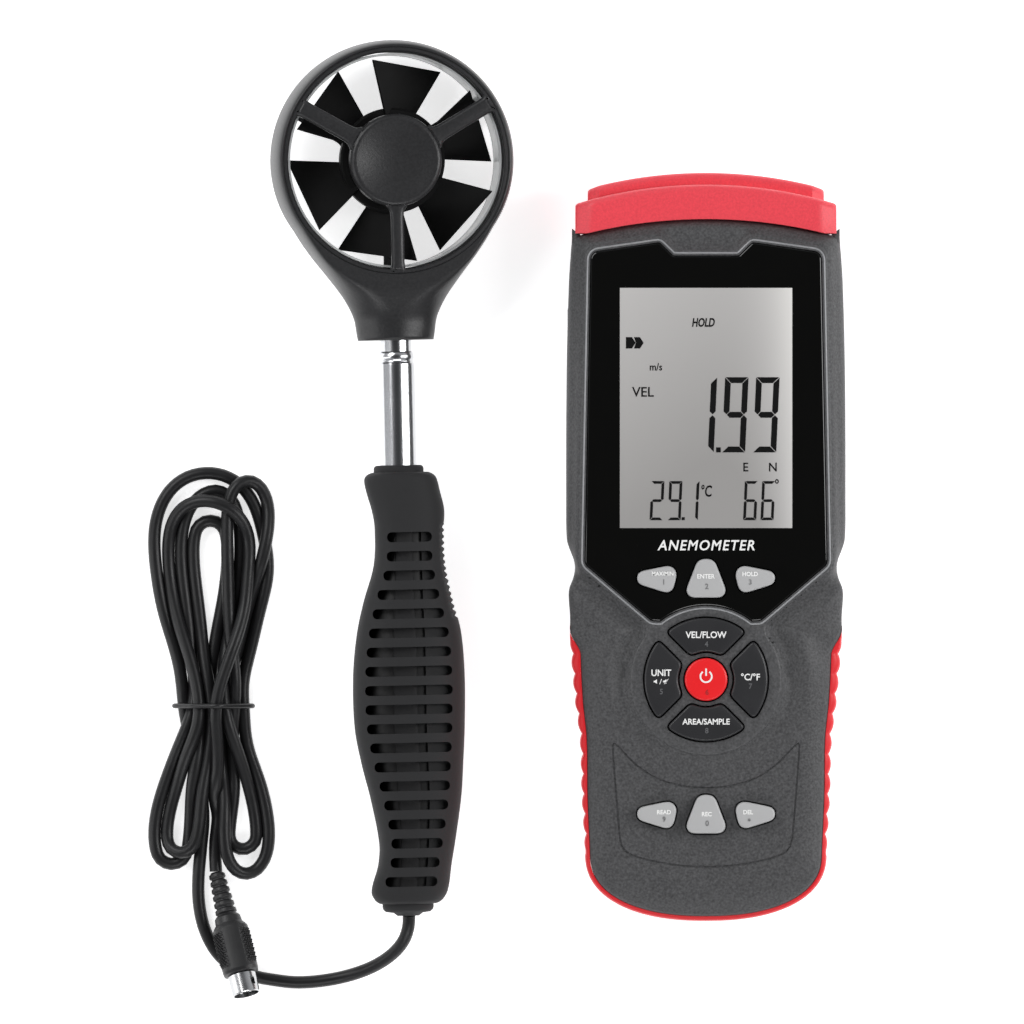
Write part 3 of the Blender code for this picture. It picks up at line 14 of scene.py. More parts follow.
import bmesh
import bpy
import numpy as np
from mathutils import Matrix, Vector

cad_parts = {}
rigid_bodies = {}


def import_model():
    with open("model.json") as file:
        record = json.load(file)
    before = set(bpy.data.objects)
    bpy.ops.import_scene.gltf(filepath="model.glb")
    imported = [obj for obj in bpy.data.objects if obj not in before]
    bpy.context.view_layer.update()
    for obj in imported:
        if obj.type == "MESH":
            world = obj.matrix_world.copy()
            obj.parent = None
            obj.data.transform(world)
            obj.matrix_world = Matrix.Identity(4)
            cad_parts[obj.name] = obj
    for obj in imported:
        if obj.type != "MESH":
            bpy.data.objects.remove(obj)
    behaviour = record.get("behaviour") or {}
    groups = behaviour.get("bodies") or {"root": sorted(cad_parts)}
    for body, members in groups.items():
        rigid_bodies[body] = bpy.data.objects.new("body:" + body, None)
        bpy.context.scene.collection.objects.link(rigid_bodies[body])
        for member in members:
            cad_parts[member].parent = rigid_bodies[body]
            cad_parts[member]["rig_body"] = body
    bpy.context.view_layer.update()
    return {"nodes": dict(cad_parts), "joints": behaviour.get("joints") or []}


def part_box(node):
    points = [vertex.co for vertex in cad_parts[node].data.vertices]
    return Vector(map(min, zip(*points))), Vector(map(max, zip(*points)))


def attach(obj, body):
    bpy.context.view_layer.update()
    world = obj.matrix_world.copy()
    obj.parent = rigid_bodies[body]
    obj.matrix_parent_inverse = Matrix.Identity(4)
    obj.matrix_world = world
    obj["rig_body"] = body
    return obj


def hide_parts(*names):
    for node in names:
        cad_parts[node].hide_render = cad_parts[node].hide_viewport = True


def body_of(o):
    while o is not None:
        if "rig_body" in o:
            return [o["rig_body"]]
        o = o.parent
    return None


LOG = logging.getLogger("vane_anemometer")
MM = 0.001
TEXT_THICKNESS = 0.06  # printed legends, raised just enough to stay clear of what they lie on
UP = np.array([0.0, 0.0, 1.0])
MERGE_DISTANCE = 2e-6  # points closer than this, in metres, become one
SENSOR_WIDTH = 36.0
DIAGONAL = 45.0  # the round pad is cut in quarters along its diagonals

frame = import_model()


# --- surfaces ------------------------------------------------------------------------------
@dataclass
class Surface:
    """Points in millimetres and the faces between them.

    Args:
        points: One row of x, y, z for each point.
        faces: Lists of point numbers, one for each face.
    """

    points: np.ndarray
    faces: list[list[int]] = field(default_factory=list)

    def plus(self, *others: "Surface") -> "Surface":
        """Returns this surface and the others as one."""
        points, faces = [self.points], list(self.faces)
        count = len(self.points)
        for other in others:
            points.append(other.points)
            faces += [[i + count for i in face] for face in other.faces]
            count += len(other.points)
        return Surface(np.vstack(points), faces)

    def moved(self, turn: np.ndarray, shift: Sequence[float]) -> "Surface":
        """Returns the surface turned by a 3 x 3 matrix and then shifted."""
        return Surface(self.points @ np.asarray(turn, float).T + np.asarray(shift, float), self.faces)


class Ends(Enum):
    """How a grid's first and last rows are finished."""

    OPEN = "open"
    CAPPED = "capped"
    JOINED = "joined"


def grid(points: np.ndarray, ends: Ends = Ends.CAPPED, around: bool = True) -> Surface:
    """Joins rows of points with four-sided faces.

    Args:
        points: rows x columns x 3.
        ends: Whether the first and last rows stay open, get one flat face each, or meet.
        around: Whether the last column meets the first.

    Returns:
        The surface, whose face k, m runs through rows k and k + 1 and columns m and m + 1.
    """
    rows, columns = points.shape[:2]
    index = np.arange(rows * columns).reshape(rows, columns)
    if around:
        index = np.hstack([index, index[:, :1]])
    if ends is Ends.JOINED:
        index = np.vstack([index, index[:1]])
    corners = (index[:-1, :-1], index[:-1, 1:], index[1:, 1:], index[1:, :-1])
    faces = np.stack(corners, axis=-1).reshape(-1, 4).tolist()
    if ends is Ends.CAPPED:
        width = index.shape[1] - (1 if around else 0)
        faces.append(index[0, :width].tolist())
        faces.append(index[-1, :width].tolist())
    return Surface(points.reshape(-1, 3), faces)


def turned(profile: Sequence[tuple[float, float]], sides: int = 96, ring: bool = False) -> Surface:
    """Turns a profile of (radius, height) about +Z: x = r cos a, y = r sin a, z = height.

    Args:
        profile: The section's points, in order.
        sides: Steps round the axis.
        ring: Whether the section is a closed loop away from the axis.

    Returns:
        The turned surface.
    """
    section = np.asarray(profile, float)
    angle = np.linspace(0, 2 * np.pi, sides, endpoint=False)
    radius, height = section[:, :1], section[:, 1:]
    rows = np.stack([radius * np.cos(angle), radius * np.sin(angle), height + 0 * angle], axis=-1)
    return grid(rows, Ends.JOINED if ring else Ends.OPEN)


def filleted(
    corners: Sequence[tuple[float, float]], radii: float | Sequence[float], steps: int = 6,
    closed: bool = False
) -> list[tuple[float, float]]:
    """Rounds a polyline's corners with arcs.

    Args:
        corners: The corners, in order.
        radii: One radius, or one for each corner.
        steps: Chords in each arc.
        closed: Whether the line comes back to its start.

    Returns:
        The points, each arc being the quadratic blend of its two tangent points and its corner,
        drawn out to a circle by the usual half-angle rule.
    """
    at = np.asarray(corners, float)
    count = len(at)
    each = np.full(count, radii) if np.isscalar(radii) else np.asarray(radii, float)
    points: list[tuple[float, float]] = []
    for i in range(count):
        if not closed and i in (0, count - 1) or each[i] <= 0:
            points.append(tuple(at[i]))
            continue
        back, on = at[i - 1] - at[i], at[(i + 1) % count] - at[i]
        room_back, room_on = np.linalg.norm(back), np.linalg.norm(on)
        back, on = back / room_back, on / room_on
        half = math.acos(max(-1.0, min(1.0, float(back @ on)))) / 2
        if half > math.radians(89):
            points.append(tuple(at[i]))
            continue
        reach = min(each[i] / math.tan(half), 0.49 * room_back, 0.49 * room_on)
        radius = reach * math.tan(half)
        middle = (back + on) / np.linalg.norm(back + on)
        centre = at[i] + middle * radius / math.sin(half)
        start, end = at[i] + back * reach - centre, at[i] + on * reach - centre
        sweep = math.atan2(start[0] * end[1] - start[1] * end[0], start @ end)
        for k in range(steps + 1):
            c, s = math.cos(sweep * k / steps), math.sin(sweep * k / steps)
            points.append((centre[0] + c * start[0] - s * start[1], centre[1] + s * start[0] + c * start[1]))
    return points


def evenly(line: np.ndarray, spacing: float) -> np.ndarray:
    """Returns points at even distances along a line, by its running length."""
    along = np.concatenate([[0], np.cumsum(np.linalg.norm(np.diff(line, axis=0), axis=1))])
    want = np.linspace(0, along[-1], max(2, round(along[-1] / spacing) + 1))
    return np.stack([np.interp(want, along, line[:, k]) for k in range(line.shape[1])], axis=1)


def through(route: Sequence[Sequence[float]], spacing: float) -> np.ndarray:
    """Returns even points on the Catmull-Rom curve through a route's points."""
    at = np.asarray(route, float)
    ends = np.vstack([2 * at[0] - at[1], at, 2 * at[-1] - at[-2]])
    a, b, c, d = (ends[i : len(ends) - 3 + i][:, None] for i in range(4))
    t = np.linspace(0, 1, 24, endpoint=False)[None, :, None]
    fine = b + ((c - a) * t + (2 * a - 5 * b + 4 * c - d) * t**2 + (3 * b - a - 3 * c + d) * t**3) / 2
    return evenly(np.vstack([fine.reshape(-1, at.shape[1]), at[-1:]]), spacing)


def tube(
    path: np.ndarray, radius: float | np.ndarray, sides: int = 14, level: Sequence[float] = UP
) -> Surface:
    """A round tube along a path that never runs along the level direction.

    Args:
        path: Points of the centreline.
        radius: One radius or one for each point.
        sides: Points round the tube.
        level: The direction that each ring's second axis keeps nearest to.

    Returns:
        Rings centre + r (cos a side + sin a over), side being tangent x level, with both ends closed.
    """
    tangent = unit(np.gradient(path, axis=0))
    side = unit(np.cross(tangent, level))
    over = np.cross(side, tangent)
    angle = np.linspace(0, 2 * np.pi, sides, endpoint=False)
    r = np.broadcast_to(np.asarray(radius, float), len(path))[:, None, None]
    ring = np.cos(angle)[None, :, None] * side[:, None] + np.sin(angle)[None, :, None] * over[:, None]
    return grid(path[:, None] + r * ring)


def unit(rows: np.ndarray) -> np.ndarray:
    """Returns each row at a length of 1."""
    return rows / np.linalg.norm(rows, axis=-1, keepdims=True)


def signed_area(line: np.ndarray) -> float:
    """Returns twice the area of a closed outline, positive when it runs anticlockwise."""
    return float(np.sum(line[:, 0] * np.roll(line[:, 1], -1) - np.roll(line[:, 0], -1) * line[:, 1]))


def outward(line: np.ndarray) -> np.ndarray:
    """Returns the way out at each point of a closed outline.

    It is n / max(n . m, 0.5), n being the mean normal of the point's two sides and m that of one.
    """
    ahead = unit(np.roll(line, -1, axis=0) - line) * (1 if signed_area(line) > 0 else -1)
    normal = np.stack([ahead[:, 1], -ahead[:, 0]], axis=1)
    both = unit(normal + np.roll(normal, 1, axis=0))
    return both / np.clip(np.sum(both * normal, axis=1), 0.5, None)[:, None]


def outset(outline: Sequence[tuple[float, float]], distance: float) -> np.ndarray:
    """Returns a closed outline moved outwards by a distance."""
    line = np.asarray(outline, float)
    return line + outward(line) * distance


def bead(path: np.ndarray, height: np.ndarray | float, wide: float, tall: float) -> Surface:
    """A closed bead along a flat closed path: at each point the ellipse wide cos a, tall sin a."""
    ahead = unit(np.roll(path, -1, axis=0) - np.roll(path, 1, axis=0))
    side = np.column_stack([ahead[:, 1], -ahead[:, 0], np.zeros(len(path))])
    turn = np.linspace(0, 2 * np.pi, 8, endpoint=False)[None, :, None]
    ring = np.cos(turn) * side[:, None] * wide + np.sin(turn) * UP * tall
    middle = np.column_stack([path, np.broadcast_to(height, len(path))])
    return grid(middle[:, None] + ring, Ends.JOINED)


def slab(
    outline: Sequence[tuple[float, float]], low: float, high: float, rounding: float = 0.0, steps: int = 3,
    crown: float = 0.0, foot: float = 0.0
) -> Surface:
    """A flat outline raised to a slab with rounded upper edges and a slightly domed top.

    Args:
        outline: The closed outline, which may be hollow in places but not crossed.
        low: Height of the underside.
        high: Height of the top at its rounded edge.
        rounding: Radius of the upper edge.
        steps: Chords in that rounding.
        crown: How much the middle of the top stands above its edge.
        foot: Radius of the lower edge.

    Returns:
        Rings of the outline moved inwards by r (1 - cos a) at heights z - r (1 - sin a), and the top
        drawn together to the outline's middle.
    """
    line = np.asarray(outline, float)
    line = line if signed_area(line) > 0 else line[::-1]
    inward = -outward(line)
    turn = np.linspace(0, np.pi / 2, steps + 1)
    insets, heights = [0.0], [low]
    if foot > 0:
        insets, heights = list(foot * (1 - np.sin(turn))), list(low + foot * (1 - np.cos(turn)))
    insets += list(rounding * (1 - np.cos(turn))) if rounding > 0 else [0.0]
    heights += list(high - rounding * (1 - np.sin(turn))) if rounding > 0 else [high]
    rings = [np.column_stack([line + inward * i, np.full(len(line), z)]) for i, z in zip(insets, heights)]
    if crown > 0:
        top, middle = rings[-1], np.append(line.mean(axis=0), high)
        for share in (0.75, 0.5, 0.25, 0.06):
            ring = middle + (top - middle) * share
            ring[:, 2] = high + crown * (1 - share**2)
            rings.append(ring)
    return grid(np.array(rings))


def turn_about(axis: Sequence[float], degrees: float) -> np.ndarray:
    """Returns the rotation matrix about an axis, by Rodrigues' formula."""
    x, y, z = np.asarray(axis, float) / np.linalg.norm(axis)
    k = np.array([[0, -z, y], [z, 0, -x], [-y, x, 0]])
    a = math.radians(degrees)
    return np.eye(3) + math.sin(a) * k + (1 - math.cos(a)) * k @ k


def circle(radius: float, count: int = 64, centre: tuple[float, float] = (0, 0)) -> list[tuple[float, float]]:
    """Returns points round a circle."""
    a = np.linspace(0, 2 * np.pi, count, endpoint=False)
    return list(zip(centre[0] + radius * np.cos(a), centre[1] + radius * np.sin(a)))


def ease(share: np.ndarray | float) -> np.ndarray:
    """Returns 3 t^2 - 2 t^3, a smooth step from 0 to 1."""
    t = np.clip(share, 0, 1)
    return t * t * (3 - 2 * t)


# --- finishes ------------------------------------------------------------------------------
def linear(code: str) -> tuple[float, float, float, float]:
    """Turns an sRGB hex colour into linear red, green and blue, with an alpha of 1."""
    values = [int(code[i : i + 2], 16) / 255 for i in (1, 3, 5)]
    return (*[v / 12.92 if v <= 0.04045 else ((v + 0.055) / 1.055) ** 2.4 for v in values], 1.0)


def node(
    tree: bpy.types.NodeTree, kind: str, inputs: dict | None = None, **settings: object
) -> bpy.types.Node:
    """Adds a shader node.

    Args:
        tree: The tree that gets it.
        kind: The node's type.
        inputs: What each input takes: a socket to link from, or a value.
        settings: The node's own settings.

    Returns:
        The node.
    """
    made = tree.nodes.new(kind)
    for name, value in settings.items():
        setattr(made, name, value)
    for name, value in (inputs or {}).items():
        if isinstance(value, bpy.types.NodeSocket):
            tree.links.new(value, made.inputs[name])
        else:
            made.inputs[name].default_value = value
    return made


@dataclass(frozen=True)
class Finish:
    """One real material and how its surface was made.

    Args:
        name: The material's name.
        colour: Its sRGB colour.
        roughness: The shader's roughness.
        metallic: 1 for a bare metal.
        grain: Spacing of the fine surface grain, in mm.
        depth: Depth of that grain, in mm.
        mottle: How far the colour varies, as a share of itself.
        wander: Spacing of that variation, in mm.
        uneven: How far the roughness varies.
        coat: Weight of a clear gloss over it.
        sheen: Weight of a soft bloom, as on rubber.
        streak: Stretch of the grain along each axis, for brushed or drawn metal.
        alpha: How much it covers what lies behind.
        glow: Strength of its own light.
        shine: Strength of its mirror reflection; 0.5 is that of a common plastic.
        slot: The record's material slot; not used.
    """

    name: str
    colour: str
    roughness: float
    metallic: float = 0.0
    grain: float = 0.6
    depth: float = 0.01
    mottle: float = 0.06
    wander: float = 9.0
    uneven: float = 0.06
    coat: float = 0.0
    sheen: float = 0.0
    streak: tuple[float, float, float] = (1.0, 1.0, 1.0)
    alpha: float = 1.0
    glow: float = 0.0
    shine: float = 0.5
    slot: str = ""

    def material(self) -> bpy.types.Material:
        """Returns the material, made the first time it is asked for."""
        found = bpy.data.materials.get(self.name)
        return found if found is not None else self.make()

    def make(self) -> bpy.types.Material:
        """Builds colour = base x (1 +- mottle x noise), roughness + uneven x noise, and a grain bump."""
        made = bpy.data.materials.new(self.name)
        made.use_nodes = True
        tree = made.node_tree
        shader = tree.nodes["Principled BSDF"]
        place = node(tree, "ShaderNodeTexCoord").outputs["Object"]
        stretch = tuple(1 / s for s in self.streak)
        drawn = node(tree, "ShaderNodeMapping", {"Vector": place, "Scale": stretch}).outputs[0]
        patch = self.noise(tree, place, self.wander, 3.0)
        base = linear(self.colour)
        light = tuple(min(1.0, v * (1 + self.mottle)) for v in base[:3]) + (1.0,)
        dark = tuple(v * (1 - self.mottle) for v in base[:3]) + (1.0,)
        tint = node(tree, "ShaderNodeMix", {"Factor": patch, 6: dark, 7: light}, data_type="RGBA")
        tree.links.new(self.tinted(tree, place, tint.outputs[2]), shader.inputs["Base Color"])
        grain = self.noise(tree, drawn, self.grain, 2.0)
        low, high = max(0.02, self.roughness - self.uneven), min(1.0, self.roughness + self.uneven)
        spread = node(tree, "ShaderNodeMapRange", {"Value": patch, "To Min": low, "To Max": high})
        tree.links.new(spread.outputs[0], shader.inputs["Roughness"])
        bump = node(tree, "ShaderNodeBump", {"Height": grain, "Strength": 0.8, "Distance": self.depth * MM})
        tree.links.new(bump.outputs[0], shader.inputs["Normal"])
        shader.inputs["Metallic"].default_value = self.metallic
        shader.inputs["Coat Weight"].default_value = self.coat
        shader.inputs["Coat Roughness"].default_value = 0.04
        shader.inputs["Sheen Weight"].default_value = self.sheen
        shader.inputs["Sheen Roughness"].default_value = 0.4
        shader.inputs["Alpha"].default_value = self.alpha
        shader.inputs["Specular IOR Level"].default_value = self.shine
        if self.glow > 0:
            tree.links.new(shader.inputs["Base Color"].links[0].from_socket, shader.inputs["Emission Color"])
            shader.inputs["Emission Strength"].default_value = self.glow
        return made

    def tinted(
        self, tree: bpy.types.NodeTree, place: bpy.types.NodeSocket, colour: bpy.types.NodeSocket
    ) -> bpy.types.NodeSocket:
        """Returns the colour as it is; a finish with a pattern of its own draws it here."""
        return colour

    def noise(
        self, tree: bpy.types.NodeTree, place: bpy.types.NodeSocket, spacing: float, detail: float
    ) -> bpy.types.NodeSocket:
        """Returns soft noise of a spacing in millimetres, from 0 to 1."""
        wave = node(
            tree, "ShaderNodeTexNoise", {"Vector": place, "Scale": 1 / (spacing * MM), "Detail": detail}
        )
        return wave.outputs["Fac"]


@dataclass(frozen=True)
class DisplayFinish(Finish):
    """A reflective liquid-crystal panel: grey, with painted shade that leaves it paler towards its upper
    left, and a painted highlight along its right edge.
    """

    middle: tuple[float, float] = (0.0, 0.0)
    size: tuple[float, float] = (1.0, 1.0)
    shades: tuple[str, str, str] = ("#989694", "#b9b7b5", "#e4e2de")

    def tinted(
        self, tree: bpy.types.NodeTree, place: bpy.types.NodeSocket, colour: bpy.types.NodeSocket
    ) -> bpy.types.NodeSocket:
        """Paints shade on the panel along its slant and a painted highlight along its right edge, by two
        ramps on x and y.
        """
        parts = node(tree, "ShaderNodeSeparateXYZ", {0: place})
        x, y = self.middle
        across = node(
            tree, "ShaderNodeMapRange",
            {
                "Value": parts.outputs[0], "From Min": (x - self.size[0] / 2) * MM,
                "From Max": (x + self.size[0] / 2) * MM
            }
        )
        rise = node(
            tree, "ShaderNodeMapRange",
            {
                "Value": parts.outputs[1], "From Min": (y - self.size[1] / 2) * MM,
                "From Max": (y + self.size[1] / 2) * MM
            }
        )
        # Painted shade: the panel grows paler up its height and towards its left.
        slant = node(tree, "ShaderNodeMath", {0: rise.outputs[0], 1: 0.42}, operation="MULTIPLY")
        lean = node(
            tree, "ShaderNodeMath", {0: across.outputs[0], 1: -0.25, 2: slant.outputs[0]},
            operation="MULTIPLY_ADD"
        )
        # Painted highlight: a steep ramp that brightens the right edge.
        edge = node(tree, "ShaderNodeMath", {0: across.outputs[0], 1: 6.0}, operation="POWER")
        total = node(
            tree, "ShaderNodeMath", {0: edge.outputs[0], 1: 0.75, 2: lean.outputs[0]},
            operation="MULTIPLY_ADD"
        )
        ramp = node(tree, "ShaderNodeValToRGB", {0: total.outputs[0]})
        stops = ramp.color_ramp.elements
        stops[0].position, stops[0].color = 0.0, linear(self.shades[0])
        stops[1].position, stops[1].color = 0.9, linear(self.shades[2])
        stops.new(0.35).color = linear(self.shades[1])
        return node(
            tree, "ShaderNodeMix", {"Factor": 0.9, 6: colour, 7: ramp.outputs[0]}, data_type="RGBA"
        ).outputs[2]


# Moulded ABS from a spark-eroded tool: mid grey, with a fine sparkle where the grain faces the light.
CASE_ABS = Finish(
    "moulded_grained_abs", "#4d4d4e", 0.5, grain=0.7, depth=0.16, mottle=0.85, wander=0.7, uneven=0.08,
    shine=0.26, slot="case_plastic"
)
# The same plastic, polished by handling where the window's rim stands proud.
RIM_ABS = Finish(
    "moulded_rim_abs", "#505051", 0.42, grain=0.6, depth=0.1, mottle=0.7, wander=0.7, shine=0.3,
    slot="case_plastic"
)
# A light grey bead round the rim's inner edge, where the acrylic drops in: a painted highlight of the light
# caught by the rounded edge.
RIM_EDGE_HIGHLIGHT_ABS = Finish(
    "rim_edge_painted_highlight", "#8e8f91", 0.35, grain=0.8, depth=0.02, mottle=0.2, wander=1.5,
    slot="case_plastic"
)
# Overmoulded elastomer: strong red, satin, with a soft bloom at grazing angles.
GRIP_TPE = Finish(
    "overmoulded_red_tpe", "#dc1f28", 0.42, shine=0.3, grain=0.5, depth=0.015, mottle=0.05, wander=16,
    sheen=0.05, slot="red_rubber"
)
# The cap is the same red in a spark-eroded grain; its colour is paled towards pink as a painted highlight,
# standing in for the light on its broad faces.
CAP_ABS = Finish(
    "moulded_grained_red_abs_painted_highlight", "#ec4450", 0.45, grain=0.6, depth=0.12, mottle=0.2, wander=0.6, uneven=0.06,
    sheen=0.12, slot="red_rubber"
)
# Acrylic sheet with black screen print behind: a deep even gloss.
WINDOW_ACRYLIC = Finish(
    "black_printed_acrylic", "#0b0b0a", 0.07, grain=8, depth=0.004, mottle=0.1, uneven=0.02,
    slot="window_lens"
)
# Pad-printed ink on the acrylic and on the keys.
WHITE_INK = Finish("pad_printed_white_ink", "#f4f4f2", 0.5, mottle=0.02, slot="grey_key")
GREY_INK = Finish("pad_printed_grey_ink", "#747474", 0.5, mottle=0.04, slot="grey_key")
DARK_INK = Finish("pad_printed_dark_ink", "#5e5e60", 0.5, mottle=0.04, slot="dark_key")
RED_INK = Finish("pad_printed_red_ink", "#b0262a", 0.5, mottle=0.04, slot="red_key")
# The display's dark segments, a hair above the panel.
SEGMENT = Finish("twisted_nematic_segment", "#141414", 0.25, grain=5, depth=0.002, slot="lcd")
# Silicone keys with a spray of matt lacquer.
GREY_KEY = Finish(
    "lacquered_grey_silicone", "#b4b4b4", 0.42, grain=0.4, depth=0.012, mottle=0.03, slot="grey_key"
)
DARK_KEY = Finish(
    "lacquered_charcoal_silicone", "#28282a", 0.4, grain=0.4, depth=0.015, mottle=0.08, slot="dark_key"
)
RED_KEY = Finish(
    "lacquered_red_silicone", "#ee2227", 0.35, grain=0.4, depth=0.012, mottle=0.04, slot="red_key"
)
# Moulded nylon of the vane head: near-black and satin, its grain showing in the highlights.
HEAD_NYLON = Finish(
    "moulded_satin_nylon", "#2a2a2b", 0.36, grain=0.7, depth=0.06, mottle=0.35, wander=0.8, uneven=0.06,
    shine=0.4, slot="black_plastic"
)
# The impeller's thin flat blades: matt black, so that the fluid mark of the tool doesn't show.
VANE_NYLON = Finish(
    "moulded_matt_black_nylon", "#0c0c0c", 0.6, shine=0.15, grain=1.2, depth=0.01, mottle=0.1,
    slot="black_plastic"
)
# Milky polycarbonate band that lines the duct.
LINER_PC = Finish(
    "frosted_polycarbonate", "#d6d8d8", 0.22, grain=3.0, depth=0.03, mottle=0.06, wander=7, alpha=0.82,
    slot="liner"
)
# Soft-touch rubber of the probe's handle: matt, a little dusty.
SLEEVE_RUBBER = Finish(
    "moulded_matt_rubber", "#272728", 0.7, grain=0.5, depth=0.03, mottle=0.12, wander=2.2, sheen=0.02,
    shine=0.3, slot="soft_rubber"
)
SLOT_CORE = Finish("moulded_black_abs_core", "#0f0f10", 0.55, grain=0.8, depth=0.01, slot="black_plastic")
# Extruded flexible PVC: black with a long soft highlight.
CORD_PVC = Finish(
    "extruded_black_pvc", "#1c1c1d", 0.38, shine=0.35, grain=1.6, depth=0.03, mottle=0.12, wander=5,
    uneven=0.07, slot="cord_pvc"
)
PLUG_PVC = Finish(
    "moulded_black_pvc", "#1f1f20", 0.42, grain=0.7, depth=0.02, mottle=0.1, wander=3, slot="black_plastic"
)
TIE_VINYL = Finish("vinyl_covered_tie", "#171718", 0.35, grain=1.0, depth=0.02, slot="soft_rubber")
# Chromed brass tube, buffed round: a mirror with faint lengthwise drawing marks.
CHROME = Finish(
    "buffed_chromed_brass", "#d9dadc", 0.2, 1.0, grain=0.35, depth=0.002, mottle=0.03, wander=20,
    uneven=0.03, streak=(1, 40, 1), slot="chrome"
)
NICKEL = Finish(
    "stamped_nickel_steel", "#c8c9ca", 0.2, 1.0, grain=0.5, depth=0.004, mottle=0.05, wander=3, uneven=0.05,
    slot="chrome"
)
STEEL = Finish(
    "turned_bright_steel", "#a9aaac", 0.3, 1.0, grain=0.3, depth=0.004, mottle=0.06, wander=3, slot="steel"
)
BOARD_GLASS = Finish(
    "solder_masked_fibreglass", "#14532b", 0.35, grain=0.5, depth=0.02, mottle=0.15, wander=2.5, coat=0.3,
    slot="circuit_board"
)
BATTERY_CAN = Finish(
    "lacquered_battery_can", "#2f3338", 0.35, 0.6, grain=3, depth=0.01, mottle=0.1, slot="battery_can"
)
LIGHT_GUIDE = Finish("moulded_light_guide", "#dedfda", 0.3, grain=2, depth=0.01, slot="lcd")
# Back and base of the casing, the same ABS in a slightly closer grain.
REAR_ABS = Finish(
    "moulded_fine_abs", "#454547", 0.52, grain=0.7, depth=0.06, mottle=0.1, wander=1.0, slot="case_plastic"
)
KEYPAD_SILICONE = Finish("moulded_milky_silicone", "#8d8f90", 0.5, grain=0.8, depth=0.01, slot="grey_key")
COVER_TPE = Finish(
    "moulded_grey_tpe", "#3a3a3c", 0.6, grain=0.6, depth=0.02, mottle=0.08, sheen=0.1, slot="soft_rubber"
)


# --- putting pieces in the scene -----------------------------------------------------------
def put(
    name: str, surface: Surface, finish: Finish, body: str, replaces: Sequence[str] = (),
    sharp: float = 38.0
) -> bpy.types.Object:
    """Makes a piece from a surface and lets it ride on a body.

    Args:
        name: The piece's name.
        surface: Its points and faces, in millimetres.
        finish: Its material.
        body: The CAD body it rides on.
        replaces: The CAD nodes it stands for.
        sharp: Edges that turn further than this many degrees stay sharp.

    Returns:
        The piece, its doubled points merged and its faces turned outwards.
    """
    geometry = bmesh.new()
    raw = bpy.data.meshes.new(name + "_raw")
    raw.from_pydata((surface.points * MM).tolist(), [], surface.faces)
    geometry.from_mesh(raw)
    bpy.data.meshes.remove(raw)
    bmesh.ops.remove_doubles(geometry, verts=geometry.verts, dist=MERGE_DISTANCE)
    bmesh.ops.recalc_face_normals(geometry, faces=geometry.faces)
    mesh = bpy.data.meshes.new(name)
    geometry.to_mesh(mesh)
    geometry.free()
    mesh.shade_smooth()
    mesh.set_sharp_from_angle(angle=math.radians(sharp))
    mesh.materials.append(finish.material())
    piece = bpy.data.objects.new(name, mesh)
    bpy.context.scene.collection.objects.link(piece)
    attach(piece, body)
    if replaces:
        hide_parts(*replaces)
    LOG.info("%s: %d faces on %s", name, len(mesh.polygons), body)
    return piece


def combined(
    piece: bpy.types.Object, others: Sequence[Surface], union: bool = False, sharp: float = 38.0
) -> None:
    """Cuts surfaces from a piece, or joins them to it, and keeps the result in its mesh."""
    if not others:
        return
    cutter = put(piece.name + "_tool", others[0].plus(*others[1:]), CASE_ABS, body_of(piece)[0])
    step = piece.modifiers.new("shape", "BOOLEAN")
    step.operation = "UNION" if union else "DIFFERENCE"
    step.solver = "EXACT"
    step.use_self = union
    step.object = cutter
    graph = bpy.context.evaluated_depsgraph_get()
    graph.update()
    mesh = bpy.data.meshes.new_from_object(piece.evaluated_get(graph))
    piece.modifiers.clear()
    old = piece.data
    piece.data = mesh
    mesh.name = piece.name
    while len(mesh.materials) > 1:
        mesh.materials.pop()
    mesh.polygons.foreach_set("material_index", np.zeros(len(mesh.polygons), np.int32))
    mesh.shade_smooth()
    mesh.set_sharp_from_angle(angle=math.radians(sharp))
    bpy.data.meshes.remove(old)
    used = cutter.data
    bpy.data.objects.remove(cutter, do_unlink=True)
    bpy.data.meshes.remove(used)


def lettering(
    text: str, height: float, at: Sequence[float], slant: float = 0.0, bold: float = 0.0,
    squeeze: float = 1.0, spread: float = 1.0
) -> Surface:
    """Plain lettering as thin raised faces, centred at a point.

    Args:
        text: The letters.
        height: Height of a capital, in mm.
        at: The middle, x, y and the height it lies at.
        slant: How far the tops lean, as a share of the height.
        bold: How much each stroke is fattened, in mm.
        squeeze: Width against the font's own.
        spread: Spacing of the letters against the font's own.

    Returns:
        The letters as closed shapes.
    """
    font = bpy.data.curves.new("letters", "FONT")
    font.body, font.size, font.align_x, font.align_y = text, height / 0.7, "CENTER", "CENTER"
    font.offset, font.extrude, font.resolution_u = bold, TEXT_THICKNESS / 2, 3
    font.space_character = spread
    holder = bpy.data.objects.new("letters", font)
    bpy.context.scene.collection.objects.link(holder)
    bpy.context.view_layer.update()
    mesh = bpy.data.meshes.new_from_object(holder.evaluated_get(bpy.context.evaluated_depsgraph_get()))
    points = np.empty(len(mesh.vertices) * 3)
    mesh.vertices.foreach_get("co", points)
    points = points.reshape(-1, 3)
    faces = [list(polygon.vertices) for polygon in mesh.polygons]
    bpy.data.objects.remove(holder, do_unlink=True)
    bpy.data.meshes.remove(mesh)
    points[:, 0] = (points[:, 0] + slant * points[:, 1]) * squeeze
    middle = (points.max(axis=0) + points.min(axis=0)) / 2
    return Surface(points - middle + np.asarray(at, float) + UP * TEXT_THICKNESS / 2, faces)


def dress(finishes: dict[Finish, Sequence[str]]) -> None:
    """Gives CAD nodes that stay their materials."""
    for finish, names in finishes.items():
        for name in names:
            for held in frame["nodes"][name].material_slots:
                held.material = finish.material()


def corners(name: str) -> tuple[np.ndarray, np.ndarray]:
    """Returns a CAD node's lowest and highest corner, in millimetres."""
    low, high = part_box(name)
    return np.array(low) / MM, np.array(high) / MM


